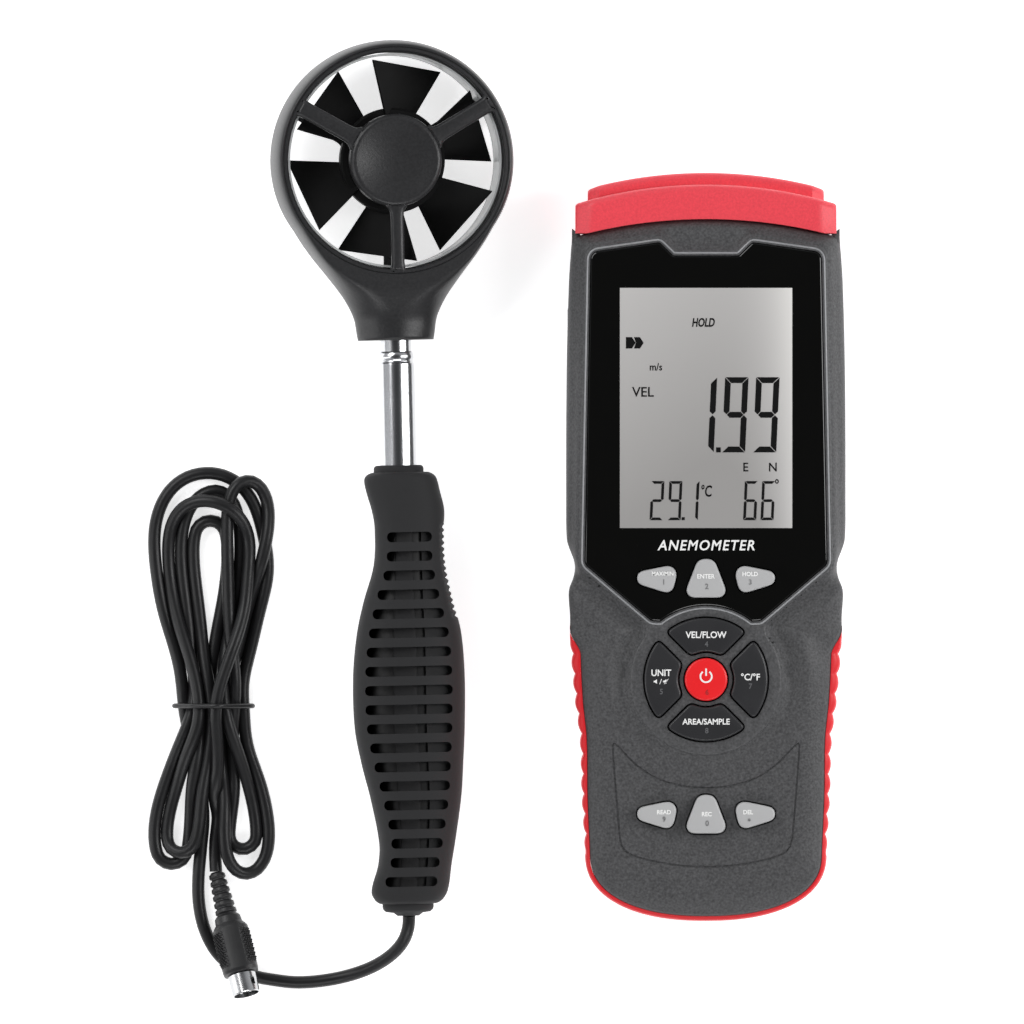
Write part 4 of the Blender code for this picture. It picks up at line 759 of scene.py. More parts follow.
# --- camera, light and floor ---------------------------------------------------------------
@dataclass
class Studio:
    """A camera straight above, soft panels of light, and a pale floor.

    Args:
        centre: The middle of the view on the floor, x and y.
        across: Width of the view on the floor.
        distance: Height of the camera.
        plane: Height at which the view is as wide as it says.
        floor: Side of the floor.
    """

    centre: tuple[float, float] = (-13.65, -9.75)
    across: float = 307.2
    distance: float = 9000.0
    plane: float = 18.0
    floor: float = 6000.0

    def camera(self) -> None:
        """Puts up the camera, its lens being sensor width x distance / width of view."""
        lens = bpy.data.cameras.new("camera")
        lens.sensor_width = SENSOR_WIDTH
        lens.lens = SENSOR_WIDTH * (self.distance - self.plane) / self.across
        lens.clip_start, lens.clip_end = 0.1, 40.0
        holder = bpy.data.objects.new("camera", lens)
        bpy.context.scene.collection.objects.link(holder)
        holder.location = (self.centre[0] * MM, self.centre[1] * MM, self.distance * MM)
        bpy.context.scene.camera = holder

    def lights(self) -> None:
        """Sets panels above, below and at each side, and a low fill from every direction."""
        world = bpy.data.worlds.new("studio")
        world.use_nodes = True
        back = world.node_tree.nodes["Background"]
        tree = world.node_tree
        facing = node(tree, "ShaderNodeTexCoord").outputs["Generated"]
        height = node(tree, "ShaderNodeSeparateXYZ", {0: facing}).outputs[2]
        ramp = node(tree, "ShaderNodeValToRGB", {0: height})
        stops = ramp.color_ramp.elements
        stops[0].position, stops[0].color = 0.0, linear("#b0b1b4")
        stops[1].position, stops[1].color = 0.97, linear("#3a3b3d")
        for position, colour in ((0.35, "#c4c5c8"), (0.75, "#a9aaad"), (0.9, "#5c5d60")):
            stops.new(position).color = linear(colour)
        tree.links.new(ramp.outputs[0], back.inputs["Color"])
        back.inputs["Strength"].default_value = 0.8
        bpy.context.scene.world = world
        panels = (
            ("upper_left_panel", (-700.0, 620.0, 900.0), (800.0, 500.0), 6.0),
            ("right_panel", (860.0, 120.0, 620.0), (300.0, 900.0), 6.0),
            ("left_panel", (-900.0, -160.0, 420.0), (220.0, 900.0), 1.6),
            ("lower_panel", (60.0, -900.0, 760.0), (900.0, 260.0), 3.2),
        )
        for name, place, size, power in panels:
            panel = bpy.data.lights.new(name, "AREA")
            panel.shape, panel.energy = "RECTANGLE", power
            panel.size, panel.size_y = size[0] * MM, size[1] * MM
            holder = bpy.data.objects.new(name, panel)
            bpy.context.scene.collection.objects.link(holder)
            holder.location = [value * MM for value in place]
            aim = Vector((self.centre[0], self.centre[1], 0)) * MM - holder.location
            holder.rotation_euler = aim.to_track_quat("-Z", "Y").to_euler()

    def ground(self) -> None:
        """Lays the floor, just under the object."""
        half = self.floor / 2 * MM
        mesh = bpy.data.meshes.new("floor")
        mesh.from_pydata(
            [(-half, -half, 0), (half, -half, 0), (half, half, 0), (-half, half, 0)], [], [[0, 1, 2, 3]]
        )
        mesh.materials.append(
            Finish(
                "white_paper_sweep", "#fbfbfb", 0.9, grain=1.5, depth=0.01, mottle=0.01, glow=0.7
            ).material()
        )
        sheet = bpy.data.objects.new("floor", mesh)
        bpy.context.scene.collection.objects.link(sheet)
        sheet.location = (0, 0, -0.0002)

    def build(self) -> None:
        """Sets up the whole studio and the way the picture is developed."""
        self.camera()
        self.lights()
        self.ground()
        bpy.context.scene.view_settings.view_transform = "Standard"


# --- cord and plug -------------------------------------------------------------------------
@dataclass
class Cord:
    """The probe's own cord: one round lead folded into a hank, held by a tie, and its plug.

    Args:
        radius: Half the cord's diameter.
        spacing: Distance between points of the centreline.
        bend_radius: Bends tighter than this are opened.
        ease_steps: How many times they are looked at.
        lead: The free route from the handle to the hank, as the CAD has it.
        tail: The free route from the hank to the plug, as the CAD has it.
        tie: Where the bundle is tied, x and y.
        slots: Where each strand passes the tie, across and above it, in the cord's own order.
        tops: The loops above the tie: left, top and right reach, top's x, and height on the table.
        bottoms: The loops below the tie: outer reach, lowest point, inner reach, and height.
    """

    radius: float = 1.9
    spacing: float = 2.4
    bend_radius: float = 4.8
    ease_steps: int = 40
    lead: tuple = (
        (-44.55, -130.9, 16.9), (-44.8, -134.6, 16.2), (-46.3, -138.6, 14.2), (-49.3, -142.2, 11.2),
        (-53.4, -145.2, 7.8), (-58.4, -147.6, 4.6), (-64.6, -149.5, 2.6), (-71.5, -150.7, 2.0),
        (-78.5, -151.1, 1.95), (-85.0, -150.4, 1.95), (-91.2, -149.2, 1.95), (-97.2, -146.6, 1.95),
        (-102.4, -142.0, 1.95), (-106.0, -135.2, 1.95), (-107.7, -127.6, 1.95), (-107.9, -120.0, 1.95),
        (-107.2, -111.6, 1.95), (-106.4, -103.6, 1.95), (-106.0, -97.3, 1.95),
    )
    tail: tuple = (
        (-101.9, -97.3, 2.0), (-102.2, -103.6, 2.1), (-102.75, -108.2, 2.0), (-102.85, -112.8, 2.1),
        (-102.6, -117.75, 2.4),
    )
    tie: tuple[float, float] = (-104.2, -68.0)
    slots: tuple = (
        (-5.9, 3.4), (5.9, 3.4), (2.0, 3.4), (7.0, 6.9), (4.0, 6.9), (-3.9, 6.9), (-2.0, 3.4), (0.1, 6.9),
        (-2.0, 10.2), (2.0, 10.2),
    )
    tops: tuple = (
        (-121.6, 2.9, -88.3, -105.0, 1.9),
        (-99.5, 2.4, -86.4, -94.0, 5.4),
        (-112.6, -1.4, -95.6, -101.2, 4.6),
        (-110.8, -8.0, -98.0, -103.6, 2.6),
        (-117.2, -5.0, -91.2, -107.4, 9.0),
    )
    bottoms: tuple = (
        (-86.4, -121.4, -100.0, 6.0),
        (-89.6, -118.4, -101.2, 2.4),
        (-121.2, -120.6, -110.0, 2.6),
        (-118.8, -117.0, -107.4, 6.4),
    )

    def top_loop(self, k: int, start: np.ndarray, end: np.ndarray, leftward: bool) -> list:
        """Returns the route over one upper loop, from one slot's place to another's."""
        left, top, right, crown, height = self.tops[k]
        near, far = (left, right) if leftward else (right, left)
        drop = 0.36 * (right - left) + 3.0
        lift = (start[2] + height) / 2, (end[2] + height) / 2
        ease_in = start[0] * 0.62 + near * 0.38
        ease_out = end[0] * 0.62 + far * 0.38
        return [
            (ease_in, start[1] + 17, lift[0]),
            (near * 0.82 + start[0] * 0.18, top - drop - 20, height),
            (near, top - drop - 1.5, height),
            ((near * 0.62 + crown * 0.38), top - 0.2 * drop, height),
            (crown, top, height),
            ((far * 0.62 + crown * 0.38), top - 0.2 * drop, height),
            (far, top - drop - 1.5, height),
            (far * 0.82 + end[0] * 0.18, top - drop - 20, height),
            (ease_out, end[1] + 17, lift[1]),
        ]

    def bottom_loop(self, k: int, start: np.ndarray, end: np.ndarray, outward: bool) -> list:
        """Returns the route round one lower loop, from one slot's place to another's."""
        outer, low, inner, height = self.bottoms[k]
        near, far = (outer, inner) if outward else (inner, outer)
        half = abs(outer - inner) / 2
        return [
            (start[0] * 0.6 + near * 0.4, start[1] - 15, (start[2] + height) / 2),
            (start[0] * 0.14 + near * 0.86, start[1] - 29, height),
            (near, low + half + 3, height),
            (near * 0.8 + far * 0.2, low + half * 0.42, height),
            ((near + far) / 2, low, height),
            (near * 0.2 + far * 0.8, low + half * 0.42, height),
            (far, low + half + 3, height),
            (end[0] * 0.14 + far * 0.86, start[1] - 29, height),
            (end[0] * 0.6 + far * 0.4, start[1] - 15, (end[2] + height) / 2),
        ]

    def places(self) -> np.ndarray:
        """Returns where each strand passes the tie."""
        return np.array([(self.tie[0] + across, self.tie[1], height) for across, height in self.slots])

    def route(self) -> np.ndarray:
        """Returns the whole cord's route before it is pushed apart: lead, five loops and four, tail."""
        at = self.places()
        points = list(self.lead) + [(-107.4, -86.0, 2.2), (-109.4, -77.0, 3.0), tuple(at[0])]
        leftward = (True, False, False, False, True)
        outward = (True, False, True, False)
        for k in range(5):
            points += self.top_loop(k, at[2 * k], at[2 * k + 1], leftward[k]) + [tuple(at[2 * k + 1])]
            if k < 4:
                points += self.bottom_loop(
                    k, at[2 * k + 1], at[2 * k + 2], outward[k]
                ) + [tuple(at[2 * k + 2])]
        points += [(-102.0, -79.0, 9.6), (-101.6, -89.0, 6.6)] + list(self.tail)
        return through(points, self.spacing)

    def settled(self, steps: int = 260) -> np.ndarray:
        """Returns the centreline after its turns have pushed each other apart and sunk to the table.

        In each step every point closer than a diameter to another part of the cord moves half of the
        overlap away, moves towards the mean of its neighbours to stay smooth, sinks a little and is
        held above the table; then each point takes its two neighbours' distances back to the spacing.
        """
        line = self.route()
        count = len(line)
        number = np.arange(count)
        lead = len(through(self.lead, self.spacing)) - 3
        held = np.zeros(count, bool)
        held[:lead] = True
        held[-8:] = True
        home = line.copy()
        apart = np.abs(number[:, None] - number[None, :]) * self.spacing > 3.2 * self.radius * 2
        width = 2 * self.radius + 0.06
        rest = np.linalg.norm(np.diff(line, axis=0), axis=1)
        for step in range(steps):
            gap = line[:, None] - line[None]
            distance = np.sqrt((gap**2).sum(axis=2)) + 1e-9
            push = np.where(apart & (distance < width), (width - distance) * 0.42 / distance, 0.0)
            shift = (gap * push[:, :, None]).sum(axis=1)
            shift = shift / np.maximum(1.0, (push > 0).sum(axis=1))[:, None] * 1.3
            smooth = np.zeros_like(line)
            smooth[1:-1] = (line[:-2] + line[2:]) / 2 - line[1:-1]
            bend = np.zeros_like(line)
            bend[2:-2] = smooth[2:-2] - (smooth[1:-3] + smooth[3:-1]) / 2
            sink = 0.05 if step < steps - 60 else 0.0
            moved = line + shift + 0.35 * bend + 0.08 * smooth + (home - line) * np.array([0.02, 0.02, 0.0])
            moved[:, 2] -= sink
            floor = self.radius + 0.05 + 1.35 * (np.abs(line[:, 1] - self.tie[1]) < 2.0)
            moved[:, 2] = np.maximum(moved[:, 2], floor)
            moved[held] = home[held]
            span = np.diff(moved, axis=0)
            length = np.linalg.norm(span, axis=1)
            fix = span * ((length - rest) / length * 0.4)[:, None]
            moved[:-1] += fix * 0.5
            moved[1:] -= fix * 0.5
            moved[held] = home[held]
            line = moved
        reach = 6
        weights = np.exp(-0.5 * (np.arange(-reach, reach + 1) / 1.9) ** 2)
        padded = np.pad(line, ((reach, reach), (0, 0)), mode="edge")
        soft = sum(w * padded[k : k + count] for k, w in enumerate(weights / weights.sum()))
        blend = np.minimum(ease((number - lead) / 12), ease((count - 8 - number) / 10))[:, None]
        line = self.eased(line + (soft - line) * blend, lead)
        return evenly(through(line, 1.2), self.spacing * 0.75)

    def eased(self, line: np.ndarray, lead: int) -> np.ndarray:
        """Returns the line with its tight bends opened, the lead and the end by the plug kept.

        Where the bend at a point, |a - 2 b + c| / (|b - a| |c - b|), is tighter than the bend radius
        allows, the point moves towards the middle of its neighbours by up to half of the way.
        """
        for step in range(self.ease_steps):
            if step % 10 == 0:
                line = evenly(line, self.spacing)
            middle = (line[:-2] + line[2:]) / 2
            part = np.linalg.norm(np.diff(line, axis=0), axis=1)
            bend = 2 * np.linalg.norm(middle - line[1:-1], axis=1) / (part[:-1] * part[1:])
            share = 0.5 * np.clip(bend * self.bend_radius - 1, 0, 1)
            share[: lead - 1] = 0
            share[-3:] = 0
            line[1:-1] += (middle - line[1:-1]) * share[:, None]
            line[:, 2] = np.maximum(line[:, 2], self.radius + 0.05)
        return line

    def build(self) -> None:
        line = self.settled()
        cord = put(
            "probe_cord", tube(line, self.radius, 16), CORD_PVC, "probe",
            ("cord_lead", "cord_hank", "cord_tail")
        )
        pieces = [self.tied(line)] + Plug().build(line[-1])

    def tied(self, line: np.ndarray) -> bpy.types.Object:
        """Makes the vinyl tie: a ring that hugs the strands, the hull of their circles at the tie."""
        near = (np.abs(line[:, 1] - self.tie[1]) < 1.6) & (line[:, 0] < -90)
        centres = line[near][:, [0, 2]]
        angle = np.linspace(0, 2 * np.pi, 72, endpoint=False)
        out = np.stack([np.cos(angle), np.sin(angle)], axis=1)
        wire = 0.75
        reach = (centres @ out.T).max(axis=0) + self.radius + wire + 0.1
        ahead = np.gradient(np.concatenate([reach[-1:], reach, reach[:1]]), angle[1])[1:-1]
        ring = out * reach[:, None] + np.stack([-np.sin(angle), np.cos(angle)], axis=1) * ahead[:, None]
        ring[:, 1] = np.maximum(ring[:, 1], wire + 0.05)
        path = np.column_stack([ring[:, 0], np.full(72, self.tie[1]), ring[:, 1]])
        path = evenly(np.vstack([path, path[:1]]), 0.8)[:-1]
        ahead = unit(np.roll(path, -1, axis=0) - np.roll(path, 1, axis=0))
        side = np.cross(ahead, (0.0, 1.0, 0.0))
        turn = np.linspace(0, 2 * np.pi, 12, endpoint=False)
        rows = path[:, None] + wire * (
            np.cos(turn)[None, :, None] * side[:, None]
            + np.sin(turn)[None, :, None] * np.array([0.0, 1.0, 0.0])
        )
        return put("cord_tie_ring", grid(rows, Ends.JOINED), TIE_VINYL, "probe", ("cord_tie",))


@dataclass
class Plug:
    """The mini-DIN plug: ribbed strain relief, grip with two knurled pads, shell, insert and pins.

    Args:
        foot: Where the strain relief meets the cord.
        turn: Degrees off -Y, towards +X.
        rise: Degrees up, the nose lying on the lead.
        relief: The strain relief's length, and its radius at its foot and its head.
        ribs: How many ribs it has.
        body: The grip's half-width and half-depth.
        shell: The shell's radius and length.
    """

    foot: tuple[float, float, float] = (-102.5, -118.2, 2.5)
    turn: float = 14.1
    rise: float = 14.0
    relief: tuple[float, float, float] = (13.4, 2.35, 3.25)
    ribs: int = 6
    body: tuple[float, float] = (5.4, 5.0)
    shell: tuple[float, float] = (4.2, 6.0)

    def axes(self) -> np.ndarray:
        """Returns the plug's frame as columns: across, up and along the plug to its nose."""
        turn, rise = math.radians(self.turn), math.radians(self.rise)
        nose = np.array([math.sin(turn) * math.cos(rise), -math.cos(turn) * math.cos(rise), math.sin(rise)])
        across = unit(np.cross(nose, UP))
        return np.column_stack([across, np.cross(across, nose), nose])

    def strain_relief(self) -> Surface:
        """A tapered core with rounded ribs: r(z) = taper + 0.45 of a raised cosine in each pitch."""
        length, foot, head = self.relief
        z = np.linspace(0.0, length, self.ribs * 14 + 1)
        phase = z / length * self.ribs
        wave = ease(np.clip(1.6 * (0.5 - 0.5 * np.cos(2 * np.pi * phase)), 0, 1))
        radius = foot - 0.5 + (head - foot) * z / length + 0.55 * wave
        profile = [(0.0, 0.0)] + list(zip(radius, z)) + [(0.0, length)]
        return turned(profile, 32)

    def grip(self) -> Surface:
        """The grip: a neck, a shoulder and a barrel whose section is a rounded square, |x|^n + |y|^n = 1."""
        start = self.relief[0] + 0.2
        stations = [
            (0.0, 3.3, 3.3, 2.0), (0.7, 3.9, 3.9, 2.0), (2.6, 4.1, 4.0, 2.1), (3.6, 4.9, 4.6, 2.3),
            (4.4, 5.35, 4.95, 2.6), (17.4, 5.4, 5.0, 2.6), (18.3, 5.2, 4.8, 2.5), (18.6, 4.7, 4.4, 2.3)
        ]
        given = np.array(stations)
        z = np.unique(np.concatenate([np.linspace(0, 18.6, 60), given[:, 0]]))
        wide, deep, power = (np.interp(z, given[:, 0], given[:, k]) for k in (1, 2, 3))
        angle = np.linspace(0, 2 * np.pi, 64, endpoint=False)
        c, s = np.cos(angle), np.sin(angle)
        x = np.sign(c) * np.abs(c) ** (2 / power[:, None]) * wide[:, None]
        y = np.sign(s) * np.abs(s) ** (2 / power[:, None]) * deep[:, None]
        return grid(np.stack([x, y, np.broadcast_to(z[:, None] + start, x.shape)], axis=-1))

    def knurl(self, side: float) -> Surface:
        """A pad of diamond points on one flank: height = 0.34 |cos u cos v| over a rounded slab."""
        start = self.relief[0] + 0.2
        u, v = np.meshgrid(np.linspace(-1, 1, 50), np.linspace(-1, 1, 90))
        angle = math.radians(90) - side * math.radians(48) - side * u * math.radians(26)
        edge = np.minimum(1, 6 * (1 - np.abs(u))) * np.minimum(1, 9 * (1 - np.abs(v)))
        diamonds = np.abs(np.cos(u * 7.5 + v * 13)) * np.abs(np.cos(u * 7.5 - v * 13))
        lift = 0.1 * np.minimum(edge, 1) + 0.6 * diamonds * edge
        c, s = np.cos(angle), np.sin(angle)
        x = np.sign(c) * np.abs(c) ** (2 / 2.6) * (self.body[0] + lift)
        y = np.sign(s) * np.abs(s) ** (2 / 2.6) * (self.body[1] + lift)
        z = start + 10.9 + v * 5.6
        top = np.stack([x, y, z], axis=-1)
        under = top * np.array([0.92, 0.92, 1.0])
        return grid(np.concatenate([top, under[:, ::-1]], axis=1))

    def build(self, end: np.ndarray) -> list[bpy.types.Object]:
        """Makes the plug's pieces and returns them."""
        turn, foot = self.axes(), self.foot
        start = self.relief[0]
        nose = start + 0.3 + 18.6 + 0.3
        radius, length = self.shell
        pieces = [
            put(
                "plug_ribs", self.strain_relief().moved(turn, foot), PLUG_PVC, "probe",
                ("plug_strain_relief",), 60
            ),
            put("plug_grip", self.grip().moved(turn, foot), PLUG_PVC, "probe", ("plug_body",)),
        ]
        pads = self.knurl(-1.0).plus(self.knurl(1.0)).moved(turn, foot)
        pieces.append(put("plug_knurled_pads", pads, PLUG_PVC, "probe", (), 20))
        wall = radius - 0.45
        shell = turned(
            [(wall, 0), (radius, 0), (radius, length - 0.25), (radius - 0.2, length), (wall, length)], 48,
            True
        )
        metal = put(
            "plug_metal_shell", shell.moved(turn, foot + turn[:, 2] * nose), NICKEL, "probe",
            ("plug_shell",)
        )
        pieces.append(metal)
        window = slab([(-0.55, -1.1), (0.55, -1.1), (0.55, 1.1), (-0.55, 1.1)], 1.6, 4.6)
        seam = slab([(-0.09, -1), (0.09, -1), (0.09, 1), (-0.09, 1)], 0.3, 6.6)
        cuts = [
            Surface(window.points[:, [0, 2, 1]] + [-2.9, 0.0, 2.9], window.faces),
            Surface(seam.points * [1, 0.4, 1] + [-0.3, radius, 0], seam.faces),
        ]
        combined(metal, [c.moved(turn, foot + turn[:, 2] * nose) for c in cuts])
        insert = slab(circle(wall - 0.3, 40), 0.0, 1.6, 0.2)
        pins = [
            slab(circle(0.45, 14, (1.9 * math.cos(a), 1.9 * math.sin(a))), 1.0, 5.2, 0.3)
            for a in np.arange(4) * math.pi / 2 + math.pi / 4
        ]
        base = foot + turn[:, 2] * nose
        pieces.append(put("plug_pin_block", insert.moved(turn, base), PLUG_PVC, "probe", ("plug_insert",)))
        pieces.append(put("plug_pins", pins[0].plus(*pins[1:]).moved(turn, base), NICKEL, "probe"))
        return pieces


# --- meter ---------------------------------------------------------------------------------
def along(stations: Sequence[tuple[float, float]], at: np.ndarray | float) -> np.ndarray:
    """Reads a smooth curve through stations of (distance, value): a cubic on each stretch whose
    slope at a station is the slope between its two neighbours."""
    x, y = np.array(sorted(stations), float).T
    before, after = np.maximum(np.arange(len(x)) - 1, 0), np.minimum(np.arange(len(x)) + 1, len(x) - 1)
    slope = (y[after] - y[before]) / (x[after] - x[before])
    at = np.clip(at, x[0], x[-1])
    k = np.clip(np.searchsorted(x, at, side="right") - 1, 0, len(x) - 2)
    h = x[k + 1] - x[k]
    t = (at - x[k]) / h
    start = (2 * t**3 - 3 * t**2 + 1) * y[k] + (t**3 - 2 * t**2 + t) * h * slope[k]
    return start + (3 * t**2 - 2 * t**3) * y[k + 1] + (t**3 - t**2) * h * slope[k + 1]


def mirror(right: Sequence[tuple[float, float]]) -> list[tuple[float, float]]:
    """Closes the right half of an outline, given from bottom to top, with its mirrored left half."""
    inner = [(x, y) for x, y in right if x > 1e-6]
    return list(right) + [(-x, y) for x, y in reversed(inner)]


def away(points: np.ndarray, outline: np.ndarray) -> np.ndarray:
    """Returns each point's distance from a closed outline, negative inside it (even-odd rule)."""
    a, b = outline, np.roll(outline, -1, axis=0)
    span = b - a
    size = (span**2).sum(axis=1)
    result = np.empty(len(points))
    for start in range(0, len(points), 4000):
        p = points[start : start + 4000, None]
        t = np.clip(((p - a) * span).sum(axis=2) / size, 0, 1)
        distance = np.sqrt(((a + t[..., None] * span - p) ** 2).sum(axis=2)).min(axis=1)
        above = (a[:, 1] > p[..., 1]) != (b[:, 1] > p[..., 1])
        slope = np.where(np.abs(span[:, 1]) < 1e-9, 1e-9, span[:, 1])
        crossing = above & (p[..., 0] < span[:, 0] * (p[..., 1] - a[:, 1]) / slope + a[:, 0])
        result[start : start + 4000] = np.where(crossing.sum(axis=1) % 2 == 1, -distance, distance)
    return result


@dataclass
class Meter:
    """The hand-held meter: casing, red grip and cap, window, display and keys.

    Heights on the casing are measured up from its bottom end, and across from its middle.

    Args:
        length: Overall length.
        lower: How far the side lies inside the widest line, up from the bottom end.
        upper: The same, down from the top.
        grip: The grip's thickness up the side.
        end: Height and superellipse power of the rounded lower end.
        pad: Height of the round pad's centre.
        disc: Radius of the disc that the pad lies in.
        rim: Width of the raised rim round the window.
        face: Height of the raised face above the table.
        field_drop: How much lower the body's surface lies.
        parting: Height of the line between the two halves.
        wall: Thickness of the casing.
        gap: Clearance between neighbours.
    """

    length: float = 224.2
    lower: tuple = (
        (20.0, 5.65), (37.6, 4.6), (54.4, 4.05), (66.5, 2.55), (83.6, 1.15), (91.2, 1.15), (97.3, 0.75),
        (99.9, 1.0), (102.5, 2.05), (105.6, 2.65), (108.2, 2.3), (111.1, 1.15), (114.4, 0.2), (126.4, 0.0),
    )
    upper: tuple = ((60.0, 0.15), (32.4, 0.85), (19.5, 1.75))
    grip: tuple = ((20.0, 1.5), (54.0, 2.1), (66.0, 2.4), (81.0, 3.0), (87.5, 1.0))
    end: tuple[float, float] = (20.0, 2.3)
    cap_seam: float = 13.6
    seam_radius: float = 150.0
    pad: float = 72.4
    disc: float = 22.9
    rim: float = 2.1
    face: float = 36.1
    field_drop: float = 2.0
    parting: float = 18.0
    wall: float = 2.2
    gap: float = 0.3
    side_step: float = 1.25
    window_top: float = 21.05
    body: str = "meter"

    def __post_init__(self) -> None:
        """Takes the meter's width from the CAD's case and its bottom end from the CAD's grip."""
        low, high = corners("front_case")
        self.middle = (low[0] + high[0]) / 2
        self.half = (high[0] - low[0]) / 2
        self.bottom = corners("side_grip")[0][1]
        self.seam = self.length - self.cap_seam

    def placed(self, surface: Surface) -> Surface:
        """Puts a surface made about the meter's own middle and bottom end in its place."""
        return surface.moved(np.eye(3), (self.middle, self.bottom, 0.0))

    def side(self, y: np.ndarray | float) -> np.ndarray:
        """Half-width of the body, grip included, at a height."""
        stations = list(self.lower) + [(self.length - y, inset) for y, inset in self.upper]
        return self.half - along(stations, y)

    def let_in(self, y: np.ndarray | float) -> np.ndarray:
        """Depth of the grip at a height: its thickness, run out over its last stretch."""
        top = self.grip[-1][0]
        return along(self.grip[:-1], y) * (1 - ease((np.asarray(y, float) - top + 8) / 8))

    def outline(self, with_grip: bool = False, top_gap: float = 0.3) -> np.ndarray:
        """Returns the casing's outline from the bottom's middle, up the right side and round."""
        height, power = self.end
        y = np.arange(height, self.seam - 2.5, self.side_step)
        x = self.side(y) - (0 if with_grip else self.let_in(y))
        drop = 0.0 if with_grip else float(self.let_in(0.0))
        turn = np.linspace(0, np.pi / 2, 48)[:-1]
        end = np.column_stack(
            [x[0] * np.sin(turn) ** (2 / power), height - (height - drop) * np.cos(turn) ** (2 / power)]
        )
        across = np.linspace(1, 0, 36)[1:] * (x[-1] - 2.0)
        arch = self.seam - top_gap - self.seam_radius + np.sqrt(self.seam_radius**2 - across**2)
        right = np.vstack(
            [
                end, np.column_stack([x, y]), [[x[-1], arch[0] - 2.3], [x[-1] - 0.4, arch[0] - 1.2]],
                np.column_stack([across, arch])
            ]
        )
        return np.array(mirror([tuple(p) for p in right]))

    def window_corners(self) -> list[tuple[float, float]]:
        """Returns the right half of the window's outline from its top notch down to the pad."""
        top = self.length - self.window_top
        return [
            (9.9, top - 4.0), (14.0, top), (34.4, top - 2.9), (36.2, self.pad + 34.6),
            (16.3, self.pad + 17.7)
        ]

    def window(self, grow: float = 0.0) -> np.ndarray:
        """Returns the window's outline: its corners rounded, and a hollow of 22.3 round the pad."""
        angle = np.radians(np.linspace(52, 90, 16))
        hollow = [(22.3 * math.cos(a), self.pad + 22.3 * math.sin(a)) for a in angle]
        right = self.window_corners() + hollow
        left = [(-x, y) for x, y in reversed(right[:-1])]
        radii = [1.2, 1.2, 2.5, 2.5, 1.8] + [0] * 15
        return outset(filleted(right + left, radii + [0] + list(reversed(radii)), 5, closed=True), grow)

    def raised(self) -> np.ndarray:
        """Returns the raised face's outline: the window's grown by the rim, down to the pad's disc."""
        right = self.window_corners()
        closed = right + [(-x, y) for x, y in reversed(right)]
        grown = outset(closed, self.rim)[: len(right)]
        start, ahead = grown[3], grown[4] - grown[3]
        away_from = start - np.array([0.0, self.pad])
        a, b, c = ahead @ ahead, 2 * away_from @ ahead, away_from @ away_from - self.disc**2
        meet = start + ahead * (-b - math.sqrt(b * b - 4 * a * c)) / (2 * a)
        turn = math.atan2(meet[1] - self.pad, meet[0])
        arc = [
            (self.disc * math.cos(t), self.pad + self.disc * math.sin(t))
            for t in np.linspace(turn - 0.3, -math.pi / 2, 40)
        ]
        half = [tuple(p) for p in grown[:4]] + [tuple(meet)] + arc
        left = [(-x, y) for x, y in reversed(half[:-1])]
        radii = [2.0, 2.0, 3.5, 5.0, 9.0] + [0] * 39
        return np.array(filleted(half + left, radii + [0] + list(reversed(radii)), 8, closed=True))

    def height(self, x: np.ndarray, y: np.ndarray, inset: np.ndarray) -> np.ndarray:
        """Height of the casing's front: a field that falls off elliptically at its edge, a bank up to
        the raised face, and a soft swelling on each shoulder.

        Args:
            x: Distance across from the middle.
            y: Height up from the bottom end.
            inset: Distance in from the outline.

        Returns:
            field - drop (1 - sqrt(1 - (1 - inset / reach)^2)), banked up by an eased step.
        """
        upper = ease((y - self.pad - 22) / 16)
        reach, drop = 8.0 - 4.4 * upper, 3.6 + 1.2 * upper
        out = np.clip(1 - inset / reach, 0, 1)
        field_height = self.face - self.field_drop - drop * (1 - np.sqrt(1 - out**2))
        field_height -= 0.6 * np.abs(x / self.half) ** 3 * (1 - upper) + 1.6 * upper * ease(
            (np.abs(x) - 35.5) / 5.5
        )
        distance = away(np.column_stack([x, y]), self.raised_line)
        shoulder = ease((y - self.pad + 16) / 22) * (1 - ease((y - self.pad - 30) / 10))
        field_height += 1.7 * shoulder * np.exp(
            -(((distance - 7.5) / 3.2) ** 2)
        ) - 0.9 * shoulder * np.exp(-(((distance - 2.8) / 2.0) ** 2))
        bank = 1 - ease((distance + 0.3) / 2.6)
        sunk = 2.6 * ease((-distance - 0.8) / 0.8)
        return field_height + np.maximum(self.face - 0.35 - field_height, 0) * bank - sunk

